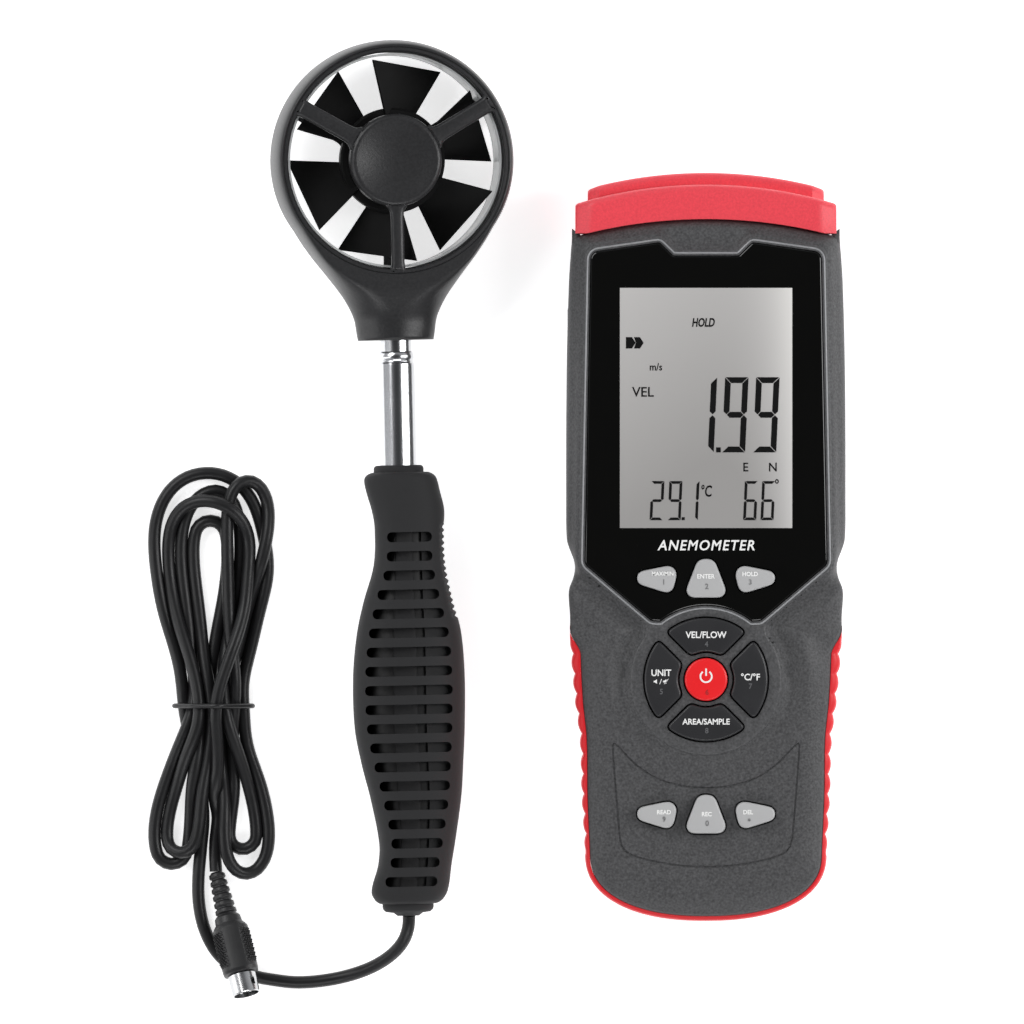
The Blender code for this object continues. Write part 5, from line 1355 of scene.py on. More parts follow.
    def shell(self, front: bool) -> Surface:
        """One half of the casing: rings of the outline, moved in along its normal, then drawn to a
        line up the middle, with a wall's thickness inside."""
        line = self.outline()
        count = len(line)
        spine = np.column_stack([np.zeros(count), np.clip(line[:, 1], 32.0, self.seam - 34)])
        span = np.linalg.norm(spine - line, axis=1, keepdims=True)
        insets = [0.0, 0.12, 0.35, 0.75, 1.3, 2.0, 2.8, 3.7, 4.7, 5.8, 7.0, 8.3, 9.6, 11.0, 12.4, 14.0]
        rings = [line + (spine - line) * (inset / span) for inset in (insets if front else insets[:9])]
        shares = np.linspace(0, 1, 32)[1:] if front else np.linspace(0, 1, 5)[1:]
        rings += [rings[-1] + (spine - rings[-1]) * share for share in shares]
        flat = np.concatenate(rings)
        each = np.maximum(-away(flat, line), 0.0)
        each[:count] = 0.0
        if front:
            top = self.height(flat[:, 0], flat[:, 1], each)
            low, under = self.parting + self.gap, self.face - 4.6
        else:
            out = np.clip(1 - each / 3.0, 0, 1)
            top = 3.0 * (1 - np.sqrt(1 - out**2))
            low, under = self.parting, self.wall
        outer = np.column_stack([flat, top]).reshape(len(rings), count, 3)
        foot = np.column_stack([line, np.full(count, low)])[None]
        inner_line = line + (spine - line) * (self.wall / span)
        brink = np.column_stack([inner_line, np.full(count, low)])
        step = 27.0 if front else 6.0
        rise = np.column_stack([inner_line, np.full(count, step)])
        lid = np.column_stack([line + (spine - line) * (4.5 / span), np.full(count, under)])
        end = np.column_stack([spine, np.full(count, under)])
        rows = np.concatenate([end[None], lid[None], rise[None], brink[None], foot, outer])
        return self.placed(grid(rows, Ends.OPEN))

    def groove(self) -> Surface:
        """A fine parting groove round the lower keys: a thin tube laid half into the surface."""
        right = [(0.0, 39.8), (7.0, 40.5), (14.5, 42.7), (21.0, 46.9), (25.9, 51.9), (27.6, 53.3)]
        down = [
            (27.9, 52.0), (27.4, 44.0), (26.6, 34.0), (25.7, 24.6), (24.3, 21.2), (20.8, 19.3),
            (14.0, 17.6), (7.0, 16.6), (0.0, 16.3)
        ]
        half = np.array(right + down)
        loop = np.vstack([half, half[-2:0:-1] * [-1, 1]])
        path = through(np.vstack([loop, loop[:1]]), 0.8)[:-1]
        z = self.height(path[:, 0], path[:, 1], np.full(len(path), 99.0)) + 0.12
        return self.placed(bead(path, z, 0.36, 0.5))

    def box(self, size: Sequence[float], middle: Sequence[float]) -> Surface:
        """A plain block, for cutting."""
        x, y, z = (value / 2 for value in size)
        flat = slab([(-x, -y), (x, -y), (x, y), (-x, y)], -z, z)
        return self.placed(flat.moved(np.eye(3), middle))

    def casing(self, keys: "Keys") -> None:
        """Makes both halves, with the window's seat, key holes, side recess, door and screw holes."""
        self.raised_line = self.raised()
        front = put("meter_front_case", self.shell(True), CASE_ABS, self.body, ("front_case",), 50)
        holes = [slab(outset(line, 0.45), 28.0, 42.0) for line in keys.outlines().values()]
        seat = slab(self.window(0.25), self.face - 1.9, self.face + 4)
        port = self.box((9.0, 56.6, 12.6), (-self.half, 155.8, 19.5))
        combined(front, [self.placed(hole) for hole in holes], False, 50)
        combined(front, [port], False, 50)
        combined(front, [self.groove()], False, 50)
        rear = put("meter_rear_case", self.shell(False), REAR_ABS, self.body, ("rear_case",), 50)
        screws = [self.placed(slab(circle(2.9, 24, at), -1.0, 3.6)) for at in self.screw_places()]
        door = self.box((33.1, 107.85, 8.0), (0.0, 13.6, 0.0))
        combined(rear, [port, door] + screws, False, 50)
        bezel = put(
            "window_and_pad_bezel", self.placed(slab(self.raised_line, 32.6, self.face, 0.9, 4)), RIM_ABS,
            self.body, (), 40
        )
        combined(bezel, [self.placed(hole) for hole in holes], False, 40)
        combined(bezel, [self.placed(seat)], False, 40)

    def screw_places(self) -> list[tuple[float, float]]:
        """Returns where the four case screws go."""
        return [(s * (self.half - 8.2 - 4 * (y < 100)), y) for y in (29.0, 190.0) for s in (-1, 1)]

    def grip_band(self) -> Surface:
        """The overmoulded grip: its section carried round the lower end, with scallops up each side
        whose depth is 0.9 (1 - |sin(pi y / pitch)|)."""
        height, power = self.end
        top = self.grip[-1][0] + 1.0
        y = np.linspace(height, top, 300)
        x = self.side(y)
        turn = np.linspace(0, np.pi / 2, 90)[:-1]
        end = np.column_stack(
            [x[0] * np.sin(turn) ** (2 / power), height - height * np.cos(turn) ** (2 / power)]
        )
        right = np.vstack([end, np.column_stack([x, y])])
        line = np.vstack([(right * [-1, 1])[:0:-1], right])
        ahead = unit(np.gradient(line, axis=0))
        inward = np.column_stack([-ahead[:, 1], ahead[:, 0]])
        up = line[:, 1]
        thick = np.maximum(self.let_in(up), 0.0) - 0.06
        ridged = ease((up - 19) / 4) * (1 - ease((up - 82) / 3))
        scallop = 0.85 * ridged * (1 - np.abs(np.sin(np.pi * (up - 20) / 6.0)) ** 0.8)
        low, high = 4.0, 30.6
        section = [
            (1.0, low), (0.45, low + 0.15), (0.12, low + 0.7), (0.0, low + 1.8), (0.0, 12.0), (0.0, 17.0),
            (0.0, 22.0), (0.0, high - 3.0), (0.1, high - 1.4), (0.35, high - 0.5), (0.7, high - 0.1),
            (1.0, high)
        ]
        rows = []
        for share, z in section:
            moved = np.minimum(share * thick + scallop * (1 - share), thick)
            rows.append(np.column_stack([line + inward * moved[:, None], np.full(len(line), z)]))
        inner = [
            np.column_stack([line + inward * (thick + 0.02)[:, None], np.full(len(line), z)])
            for z in (high, 22.0, 12.0, low)
        ]
        rows = np.array(rows + inner[1:3])
        return self.placed(grid(rows.transpose(1, 0, 2)))

    def cap(self, width: float, apex: float, seam: float, low: float, high: float, facet: float) -> Surface:
        """One tier of the cap, as sections across it from side to side.

        Args:
            width: Its width.
            apex: Height of its top at the middle.
            seam: Height of its lower edge at the middle.
            low: Lowest point of its section.
            high: Highest point of its section.
            facet: Width of the facet at each end.

        Returns:
            Rounded rectangles between two arches, r^2 = x^2 + y^2, that sink over each end facet.
        """
        half = width / 2
        near = np.concatenate(
            [half - facet * np.linspace(0, 1, 7) ** 1.4, np.linspace(half - facet, 0, 26)[1:]]
        )
        x = np.concatenate([near, -near[-2::-1]])
        out = np.clip((np.abs(x) - half + facet) / facet, 0, 1)
        end = np.clip((np.abs(x) - half + 0.6) / 0.6, 0, 1)
        top = apex - 135.6 + np.sqrt(
            135.6**2 - np.minimum(np.abs(x), half - facet) ** 2
        ) - 1.3 * out - 0.5 * end**2
        foot = seam - self.seam_radius + np.sqrt(
            self.seam_radius**2 - np.minimum(np.abs(x), half - 3.6) ** 2
        ) - 0.35
        face, base = high - 2.6 * out - 0.5 * end**2, low + 1.2 * out + 0.5 * end**2
        turn = np.linspace(0, np.pi / 2, 6)
        loop = [(foot, base + 0.4), (foot, face - 0.3), (foot + 0.12, face - 0.08), (foot + 0.4, face)]
        loop += [(top - 1.9 * (1 - np.sin(t)), face - 1.9 * (1 - np.cos(t))) for t in turn]
        loop += [(top - 1.9 * (1 - np.cos(t)), base + 1.9 * (1 - np.sin(t))) for t in turn]
        loop += [(foot + 0.4, base)]
        rows = np.stack([np.stack([x, y, z], axis=-1) for y, z in loop], axis=1)
        return self.placed(grid(rows))

    def build(self) -> None:
        """Makes the whole meter."""
        keys = Keys(self)
        self.casing(keys)
        put("red_side_grip", self.grip_band(), GRIP_TPE, self.body, ("side_grip",), 60)
        lower = self.cap(78.2, self.length - 3.6, self.seam, 1.5, 34.4, 4.6)
        upper = self.cap(70.8, self.length, self.seam + 3, 5.0, 29.0, 3.5)
        put("red_top_cap", lower.plus(upper), CAP_ABS, self.body, ("top_cap",), 30)
        self.window_pane()
        Display(self).build()
        keys.build()
        self.back()
        self.port_cover()

    def window_pane(self) -> None:
        """The printed acrylic window, with the three key holes."""
        pane = put(
            "printed_window",
            self.placed(slab(self.window(-0.05), self.face - 1.7, self.face + 0.25, 0.25, 2)),
            WINDOW_ACRYLIC, self.body, ("display_window",), 12
        )
        # A light grey bead round the window: a painted highlight along the rim's rounded edge.
        edge = evenly(np.vstack([self.window(1.0), self.window(1.0)[:1]]), 0.9)[:-1]
        put("window_rim_painted_highlight", self.placed(bead(edge, self.face - 0.08, 0.3, 0.3)), RIM_EDGE_HIGHLIGHT_ABS, self.body)
        keys = Keys(self).outlines()
        cuts = [
            slab(outset(keys[name], 0.4), 30.0, 40.0) for name in ("max_min_key", "enter_key", "hold_key")
        ]
        combined(pane, [self.placed(cut) for cut in cuts], False, 12)
        title = lettering("ANEMOMETER", 3.0, (0.0, 112.6, self.face + 0.25), 0.2, 0.07, 0.93, 1.16)
        put("window_title", self.placed(title), WHITE_INK, self.body)

    def back(self) -> None:
        """The battery door with its grip ribs, and the four case screws with crossed recesses."""
        low, high = corners("battery_door")
        width, length = high[0] - low[0], high[1] - low[1]
        corners_of = [(-width / 2, 0), (width / 2, 0), (width / 2, length), (-width / 2, length)]
        door = slab(filleted(corners_of, 2.0, 5, closed=True), -2.2, -0.02, 0.5)
        flip = np.diag([1.0, 1.0, -1.0])
        at = ((low[0] + high[0]) / 2, low[1], 0.0)
        piece = put("battery_door_panel", door.moved(flip, at), REAR_ABS, "battery_door", ("battery_door",))
        ribs = [
            slab(filleted([(-9, y), (9, y), (9, y + 1.1), (-9, y + 1.1)], 0.5, 4, closed=True), -0.6, 0.6)
            for y in (7.0, 9.4, 11.8, 14.2)
        ]
        combined(piece, [rib.moved(np.eye(3), at) for rib in ribs])
        for i, place in enumerate(self.screw_places()):
            node_low, node_high = corners(f"case_screw_{i + 1}")
            head = turned([(0.0, 3.7), (2.6, 3.7), (2.6, 2.6), (2.3, 2.15), (1.2, 2.0), (0.0, 2.0)], 40)
            shank = turned([(0.0, 3.5), (1.3, 3.5), (1.3, node_high[2] - 1.0), (0.0, node_high[2])], 20)
            piece = put(
                f"case_screw_head_{i + 1}", self.placed(head.plus(shank).moved(np.eye(3), (*place, 0.0))),
                STEEL, self.body, (f"case_screw_{i + 1}",)
            )
            bars = [
                slab([(-a, -b), (a, -b), (a, b), (-a, b)], 1.0, 2.9) for a, b in ((1.45, 0.3), (0.3, 1.45))
            ]
            combined(piece, [self.placed(bar.moved(np.eye(3), (*place, 0.0))) for bar in bars])

    def port_cover(self) -> None:
        """The soft cover over the side sockets: a rounded slab on its edge, with a nail notch."""
        low, high = corners("side_port_cover")
        size = high - low
        y, z = size[1] / 2, size[2] / 2
        plate = slab(
            filleted([(-y, -z), (y, -z), (y, z), (-y, z)], 1.6, 6, closed=True), 0.0, size[0], 0.6, 4
        )
        turn = np.array([[0.0, 0, -1.0], [-1.0, 0, 0], [0, 1.0, 0]])
        place = (high[0], (low[1] + high[1]) / 2, (low[2] + high[2]) / 2)
        cover = put(
            "side_socket_cover", plate.moved(turn, place), COVER_TPE, "side_port_cover",
            ("side_port_cover",)
        )
        notch = turned(
            [(0.0, -1.2), (1.6, -1.2), (1.6, 1.2), (0.0, 1.2)], 24
        ).moved(turn, (low[0], place[1] + 22.0, high[2] - 0.2))
        ribs = [
            slab(
                [(-0.35, -3.4), (0.35, -3.4), (0.35, 3.4), (-0.35, 3.4)], size[0] - 0.3, size[0] + 1
            ).moved(np.eye(3), (d, 0, 0)).moved(turn, place)
            for d in (-18.0, -15.5, -13.0)
        ]
        combined(cover, [notch] + ribs)


@dataclass
class Keys:
    """The eleven keys, each on its own body, and what is printed on them.

    Args:
        meter: The meter they are in.
        top: Height of the key tops.
        foot: Height of their undersides.
        crown: How much the middle of a key's top stands above its edge.
        rows: How far the upper and lower rows of three stand from the round pad's centre.
        reach: How far a row's outer keys stand from the middle.
    """

    meter: Meter
    top: float = 37.35
    foot: float = 33.4
    crown: float = 0.12
    rows: tuple[float, float] = (30.2, -40.4)
    reach: float = 14.2

    def side_key(self, side: float) -> list[tuple[float, float]]:
        """A rounded triangle that points away from the middle."""
        line = filleted(
            [(-6.5, 2.0), (-6.5, -1.5), (4.0, -4.8), (6.3, 4.6)], [1.9, 1.9, 2.2, 2.6], 8, closed=True
        )
        line = [tuple(p) for p in self.softened(np.array(line), 1.6)]
        return line if side < 0 else [(-x, y) for x, y in reversed(line)]

    def middle_key(self) -> list[tuple[float, float]]:
        """A rounded triangle that points up the meter."""
        line = filleted(
            [(-6.9, -5.7), (6.9, -5.7), (2.4, 5.9), (-2.4, 5.9)], [2.2, 2.2, 2.6, 2.6], 8, closed=True
        )
        return [tuple(p) for p in self.softened(np.array(line), 1.5)]

    def pad_key(self, turn: float) -> list[tuple[float, float]]:
        """A quarter of the round pad between two circles, its sides parallel to the diagonals."""
        outer, inner, slack = 18.5, 8.4, 1.75
        wide = DIAGONAL - math.degrees(math.asin(slack / outer))
        narrow = DIAGONAL - math.degrees(math.asin(slack / inner))
        rim = [
            (outer * math.cos(a), outer * math.sin(a))
            for a in np.radians(np.linspace(90 - wide, 90 + wide, 33))
        ]
        hollow = [
            (inner * math.cos(a), inner * math.sin(a))
            for a in np.radians(np.linspace(90 + narrow, 90 - narrow, 17))
        ]
        line = np.array(filleted(rim + hollow, [0.0] * 50, 4, closed=True))
        line = self.softened(line, 2.3)
        c, s = math.cos(math.radians(turn)), math.sin(math.radians(turn))
        return [tuple(p) for p in line @ np.array([[c, s], [-s, c]])]

    def softened(self, line: np.ndarray, radius: float) -> np.ndarray:
        """Rounds every corner of a fine closed line: even points, each the mean of those within a radius."""
        closed = evenly(np.vstack([line, line[:1]]), 0.35)[:-1]
        reach = max(1, round(radius / 0.35))
        weights = np.hanning(2 * reach + 3)[1:-1]
        weights /= weights.sum()
        return sum(w * np.roll(closed, k - reach, axis=0) for k, w in enumerate(weights))

    def outlines(self) -> dict[str, np.ndarray]:
        """Returns every key's outline on the meter, by body."""
        pad = self.meter.pad
        made = {}
        trios = (("max_min_key", "enter_key", "hold_key"), ("read_key", "record_key", "delete_key"))
        for (left, middle, right), row in zip(trios, self.rows):
            made[left] = np.array(self.side_key(-1)) + (-self.reach, pad + row)
            made[middle] = np.array(self.middle_key()) + (0, pad + row)
            made[right] = np.array(self.side_key(1)) + (self.reach, pad + row)
        for name, turn in (("vel_flow_key", 0), ("unit_key", 90), ("area_key", 180), ("temp_unit_key", 270)):
            made[name] = np.array(self.pad_key(turn)) + (0, pad)
        made["power_key"] = np.array(circle(6.4, 64, (0, pad)))
        return made

    def legends(self) -> dict[str, list[tuple]]:
        """Returns what is printed on each key: words, capital height, place and ink."""
        pad = self.meter.pad
        upper, lower = (pad + row for row in self.rows)
        return {
            "max_min_key": [
                ("MAX/MIN", 1.15, -13.0, upper + 1.5, WHITE_INK), ("1", 1.5, -12.7, upper - 1.0, GREY_INK)
            ],
            "enter_key": [
                ("ENTER", 1.3, 0.0, upper + 0.7, WHITE_INK), ("2", 1.6, 0.2, upper - 2.3, GREY_INK)
            ],
            "hold_key": [
                ("HOLD", 1.25, 13.2, upper + 1.4, WHITE_INK), ("3", 1.5, 13.2, upper - 1.0, GREY_INK)
            ],
            "vel_flow_key": [
                ("VEL/FLOW", 1.9, 0.0, pad + 13.4, WHITE_INK), ("4", 1.6, 0.1, pad + 10.6, DARK_INK)
            ],
            "unit_key": [("UNIT", 1.9, -13.4, pad + 2.0, WHITE_INK), ("5", 1.6, -13.4, pad - 3.6, DARK_INK)],
            "temp_unit_key": [
                ("°C/°F", 1.9, 13.3, pad + 0.8, WHITE_INK), ("7", 1.6, 13.3, pad - 2.0, DARK_INK)
            ],
            "area_key": [
                ("AREA/SAMPLE", 1.7, 0.0, pad - 12.6, WHITE_INK), ("8", 1.6, 0.2, pad - 15.3, DARK_INK)
            ],
            "power_key": [("6", 1.5, 0.3, pad - 3.8, RED_INK)],
            "read_key": [
                ("READ", 1.25, -12.6, lower + 0.7, WHITE_INK), ("9", 1.5, -12.6, lower - 1.4, GREY_INK)
            ],
            "record_key": [
                ("REC", 1.25, 0.2, lower + 0.1, WHITE_INK), ("0", 1.6, 0.3, lower - 2.6, GREY_INK)
            ],
            "delete_key": [
                ("DEL", 1.25, 12.6, lower + 0.7, WHITE_INK), ("*", 1.5, 12.9, lower - 1.6, GREY_INK)
            ],
        }

    def build(self) -> None:
        """Makes the keys, their legends, the power mark and the sounder marks."""
        finish = {name: DARK_KEY for name in ("vel_flow_key", "unit_key", "area_key", "temp_unit_key")}
        finish["power_key"] = RED_KEY
        for name, line in self.outlines().items():
            shape = slab(line, self.foot, self.top, 0.65, 5, self.crown)
            put(name + "_cap", self.meter.placed(shape), finish.get(name, GREY_KEY), name, (name,), 50)
            printed: dict[Finish, list[Surface]] = {}
            for words, height, x, y, ink in self.legends()[name]:
                bold = 0.055 if ink is WHITE_INK else 0.04
                printed.setdefault(ink, []).append(
                    lettering(words, height, (x, y, self.top + self.crown), 0.0, bold, 0.95)
                )
            if name == "power_key":
                printed.setdefault(WHITE_INK, []).extend(self.power_mark(self.top + self.crown))
            if name == "unit_key":
                printed.setdefault(WHITE_INK, []).extend(self.sounder_marks(self.top + self.crown))
            for ink, shapes in printed.items():
                tone = {WHITE_INK: "words", GREY_INK: "number", DARK_INK: "number", RED_INK: "number"}[ink]
                put(f"{name}_{tone}", self.meter.placed(shapes[0].plus(*shapes[1:])), ink, name)

    def power_mark(self, z: float) -> list[Surface]:
        """A broken ring with a bar through its gap."""
        pad = self.meter.pad + 0.9
        angle = np.radians(np.linspace(125, 415, 40))
        ring = [(1.95 * math.cos(a), pad + 1.95 * math.sin(a)) for a in angle] + [
            (1.45 * math.cos(a), pad + 1.45 * math.sin(a)) for a in angle[::-1]
        ]
        bar = [(-0.25, pad + 0.2), (0.25, pad + 0.2), (0.25, pad + 2.4), (-0.25, pad + 2.4)]
        return [slab(ring, z, z + TEXT_THICKNESS), slab(bar, z, z + TEXT_THICKNESS)]

    def sounder_marks(self, z: float) -> list[Surface]:
        """Two small loudspeaker marks with a stroke between them."""
        y = self.meter.pad - 0.6
        marks = []
        for x in (-15.0, -12.2):
            horn = [
                (x - 0.7, y - 0.25), (x - 0.3, y - 0.25), (x + 0.3, y - 0.7), (x + 0.3, y + 0.7),
                (x - 0.3, y + 0.25), (x - 0.7, y + 0.25)
            ]
            marks.append(slab(horn, z, z + TEXT_THICKNESS))
        for x, lean in ((-13.6, 0.3), (-11.9, 0.6)):
            marks.append(
                slab(
                    [
                        (x - lean - 0.1, y - 0.8), (x - lean + 0.1, y - 0.8), (x + lean + 0.1, y + 0.8),
                        (x + lean - 0.1, y + 0.8)
                    ],
                    z, z + TEXT_THICKNESS
                )
            )
        return marks


@dataclass
class Display:
    """The liquid-crystal panel seen through the window, and what it reads.

    Args:
        meter: The meter it is in.
        size: Width and height of what shows of it.
        lift: How far its face stands above the raised face of the casing.
        lean: How far the tops of the numerals lean.
    """

    meter: Meter
    size: tuple[float, float] = (51.6, 71.9)
    lift: float = 0.3
    lean: float = 0.045

    def segments(
        self, digit: str, x: float, y: float, width: float, height: float, thick: float, z: float
    ) -> list[Surface]:
        """A seven-segment numeral.

        Args:
            digit: The numeral.
            x: Its left edge.
            y: Its lower edge.
            width: Its width.
            height: Its height.
            thick: Thickness of a segment.
            z: The height it lies at.

        Returns:
            Each lit segment, a bar with pointed ends, leaning by the display's own slant.
        """
        lit = {"1": "bc", "2": "abged", "6": "afedcg", "9": "abcdfg"}[digit]
        h, w, t, g = height, width, thick, 0.05 * thick + 0.06
        mid, s = height / 2, thick / 2
        places = {
            "a": [(g, h), (w - g, h), (w - g - t, h - t), (g + t, h - t)],
            "d": [(g, 0), (g + t, t), (w - g - t, t), (w - g, 0)],
            "g": [
                (g + s, mid), (g + t, mid + s), (w - g - t, mid + s), (w - g - s, mid),
                (w - g - t, mid - s), (g + t, mid - s)
            ],
            "f": [(0, h - g), (t, h - g - t), (t, mid + g + s), (s, mid + g), (0, mid + g + s)],
            "e": [(0, g), (t, g + t), (t, mid - g - s), (s, mid - g), (0, mid - g - s)],
            "b": [(w, h - g), (w - t, h - g - t), (w - t, mid + g + s), (w - s, mid + g), (w, mid + g + s)],
            "c": [(w, g), (w - t, g + t), (w - t, mid - g - s), (w - s, mid - g), (w, mid - g - s)],
        }
        made = []
        for name in lit:
            line = [(x + px + self.lean * py, y + py) for px, py in places[name]]
            made.append(slab(line, z, z + TEXT_THICKNESS))
        return made

    def build(self) -> None:
        """Makes the panel and the lit segments and words."""
        meter = self.meter
        low, high = corners("lcd_glass")
        x = (low[0] + high[0]) / 2 - meter.middle
        y = meter.length - 34.55 - self.size[1] / 2
        z = meter.face + self.lift
        half_w, half_h = self.size[0] / 2, self.size[1] / 2
        # The panel's shades carry painted shade and a painted highlight, and glow=0.04 gives it a faint
        # painted glow of its own.
        panel = DisplayFinish(
            "reflective_crystal_display", "#b4b2b0", 0.2, grain=6, depth=0.002, mottle=0.02, glow=0.04,
            slot="lcd", middle=(meter.middle, meter.bottom + y), size=self.size
        )
        glass = slab(
            [(-half_w, y - half_h), (half_w, y - half_h), (half_w, y + half_h), (-half_w, y + half_h)],
            z - 0.8, z
        )
        put("display_panel", meter.placed(glass), panel, meter.body, ("lcd_glass",))
        base = meter.bottom
        big = self.segments("1", -4.6, 8.1 - base, 6.9, 22.5, 1.75, z)
        big += self.segments("9", 4.7, 8.1 - base, 7.0, 22.5, 1.75, z) + self.segments(
            "9", 14.0, 8.1 - base, 7.0, 22.5, 1.75, z
        )
        big.append(
            slab(
                [(3.0, 8.1 - base), (4.4, 8.1 - base), (4.4, 9.6 - base), (3.0, 9.6 - base)], z,
                z + TEXT_THICKNESS
            )
        )
        for digit, left in (("2", -16.9), ("9", -11.5), ("1", -6.4), ("6", 11.1), ("6", 16.3)):
            big += self.segments(digit, left, -12.2 - base, 3.9, 11.7, 0.8, z)
        big.append(
            slab(
                [(-7.3, -12.2 - base), (-6.4, -12.2 - base), (-6.4, -11.3 - base), (-7.3, -11.3 - base)], z,
                z + TEXT_THICKNESS
            )
        )
        words = (
            ("HOLD", 2.5, -0.8, 47.0, 0.2, 0.1, 0.68), ("m/s", 2.1, -15.0, 33.7, 0.0, 0.05, 0.9), (
                "VEL", 2.9, -18.9, 26.2, 0.0, 0.04, 0.98
            ),
            ("E", 2.6, 11.9, 3.7, 0.0, 0.04, 0.95), ("N", 2.6, 20.0, 3.7, 0.0, 0.04, 0.95), (
                "°C", 3.3, 0.2, -3.4, 0.12, 0.08, 0.66
            ), ("°", 3.4, 21.2, -0.6, 0.0, 0.06, 0.8),
        )
        for text, height, dx, up, slant, bold, squeeze in words:
            big.append(lettering(text, height, (dx, up - base, z), slant, bold, squeeze))
        for left in (-24.0, -21.6):
            mark = [
                (left, 39.2 - base), (left + 1.8, 39.2 - base), (left + 2.9, 40.9 - base),
                (left + 1.8, 42.6 - base), (left, 42.6 - base), (left + 0.6 * (left > -22), 40.9 - base)
            ]
            big.append(slab(mark, z, z + TEXT_THICKNESS))
        put("display_reading", meter.placed(big[0].plus(*big[1:])), SEGMENT, meter.body)


# --- probe ---------------------------------------------------------------------------------
@dataclass
class Axes:
    """The probe's own directions, taken from the CAD's joints.

    The mast runs along `mast`, the air along `flow`, and `centre` is the middle of the vane head.
    """

    reach: float = 91.8

    def __post_init__(self) -> None:
        """Reads the joints: the head's X is mast x flow, and the mast's foot is `reach` down it."""
        joints = {joint["name"]: joint for joint in frame["joints"]}
        self.mast = np.array(joints["mast_slide"]["axis"], float)
        self.flow = np.array(joints["impeller_spin"]["axis"], float)
        self.centre = np.array(joints["impeller_spin"]["pos_m"], float) / MM
        self.head = np.column_stack([np.cross(self.mast, self.flow), self.mast, self.flow])
        self.level = np.column_stack([np.cross(self.mast, UP), self.mast, UP])
        self.foot = self.centre - self.reach * self.mast

    def on_head(self, surface: Surface) -> Surface:
        """Places a surface made about the duct's middle: Y up the mast, Z out of the front."""
        return surface.moved(self.head, self.centre)

    def on_probe(self, surface: Surface) -> Surface:
        """Places a surface made about the mast's foot: Y up the mast, Z up from the table."""
        return surface.moved(self.level, self.foot)

    def along_mast(self, surface: Surface) -> Surface:
        """Places a surface turned about Z so that its axis lies along the mast, from its foot."""
        stood = np.array([[1.0, 0, 0], [0, 0, 1.0], [0, -1.0, 0]])
        return surface.moved(self.level @ stood, self.foot)


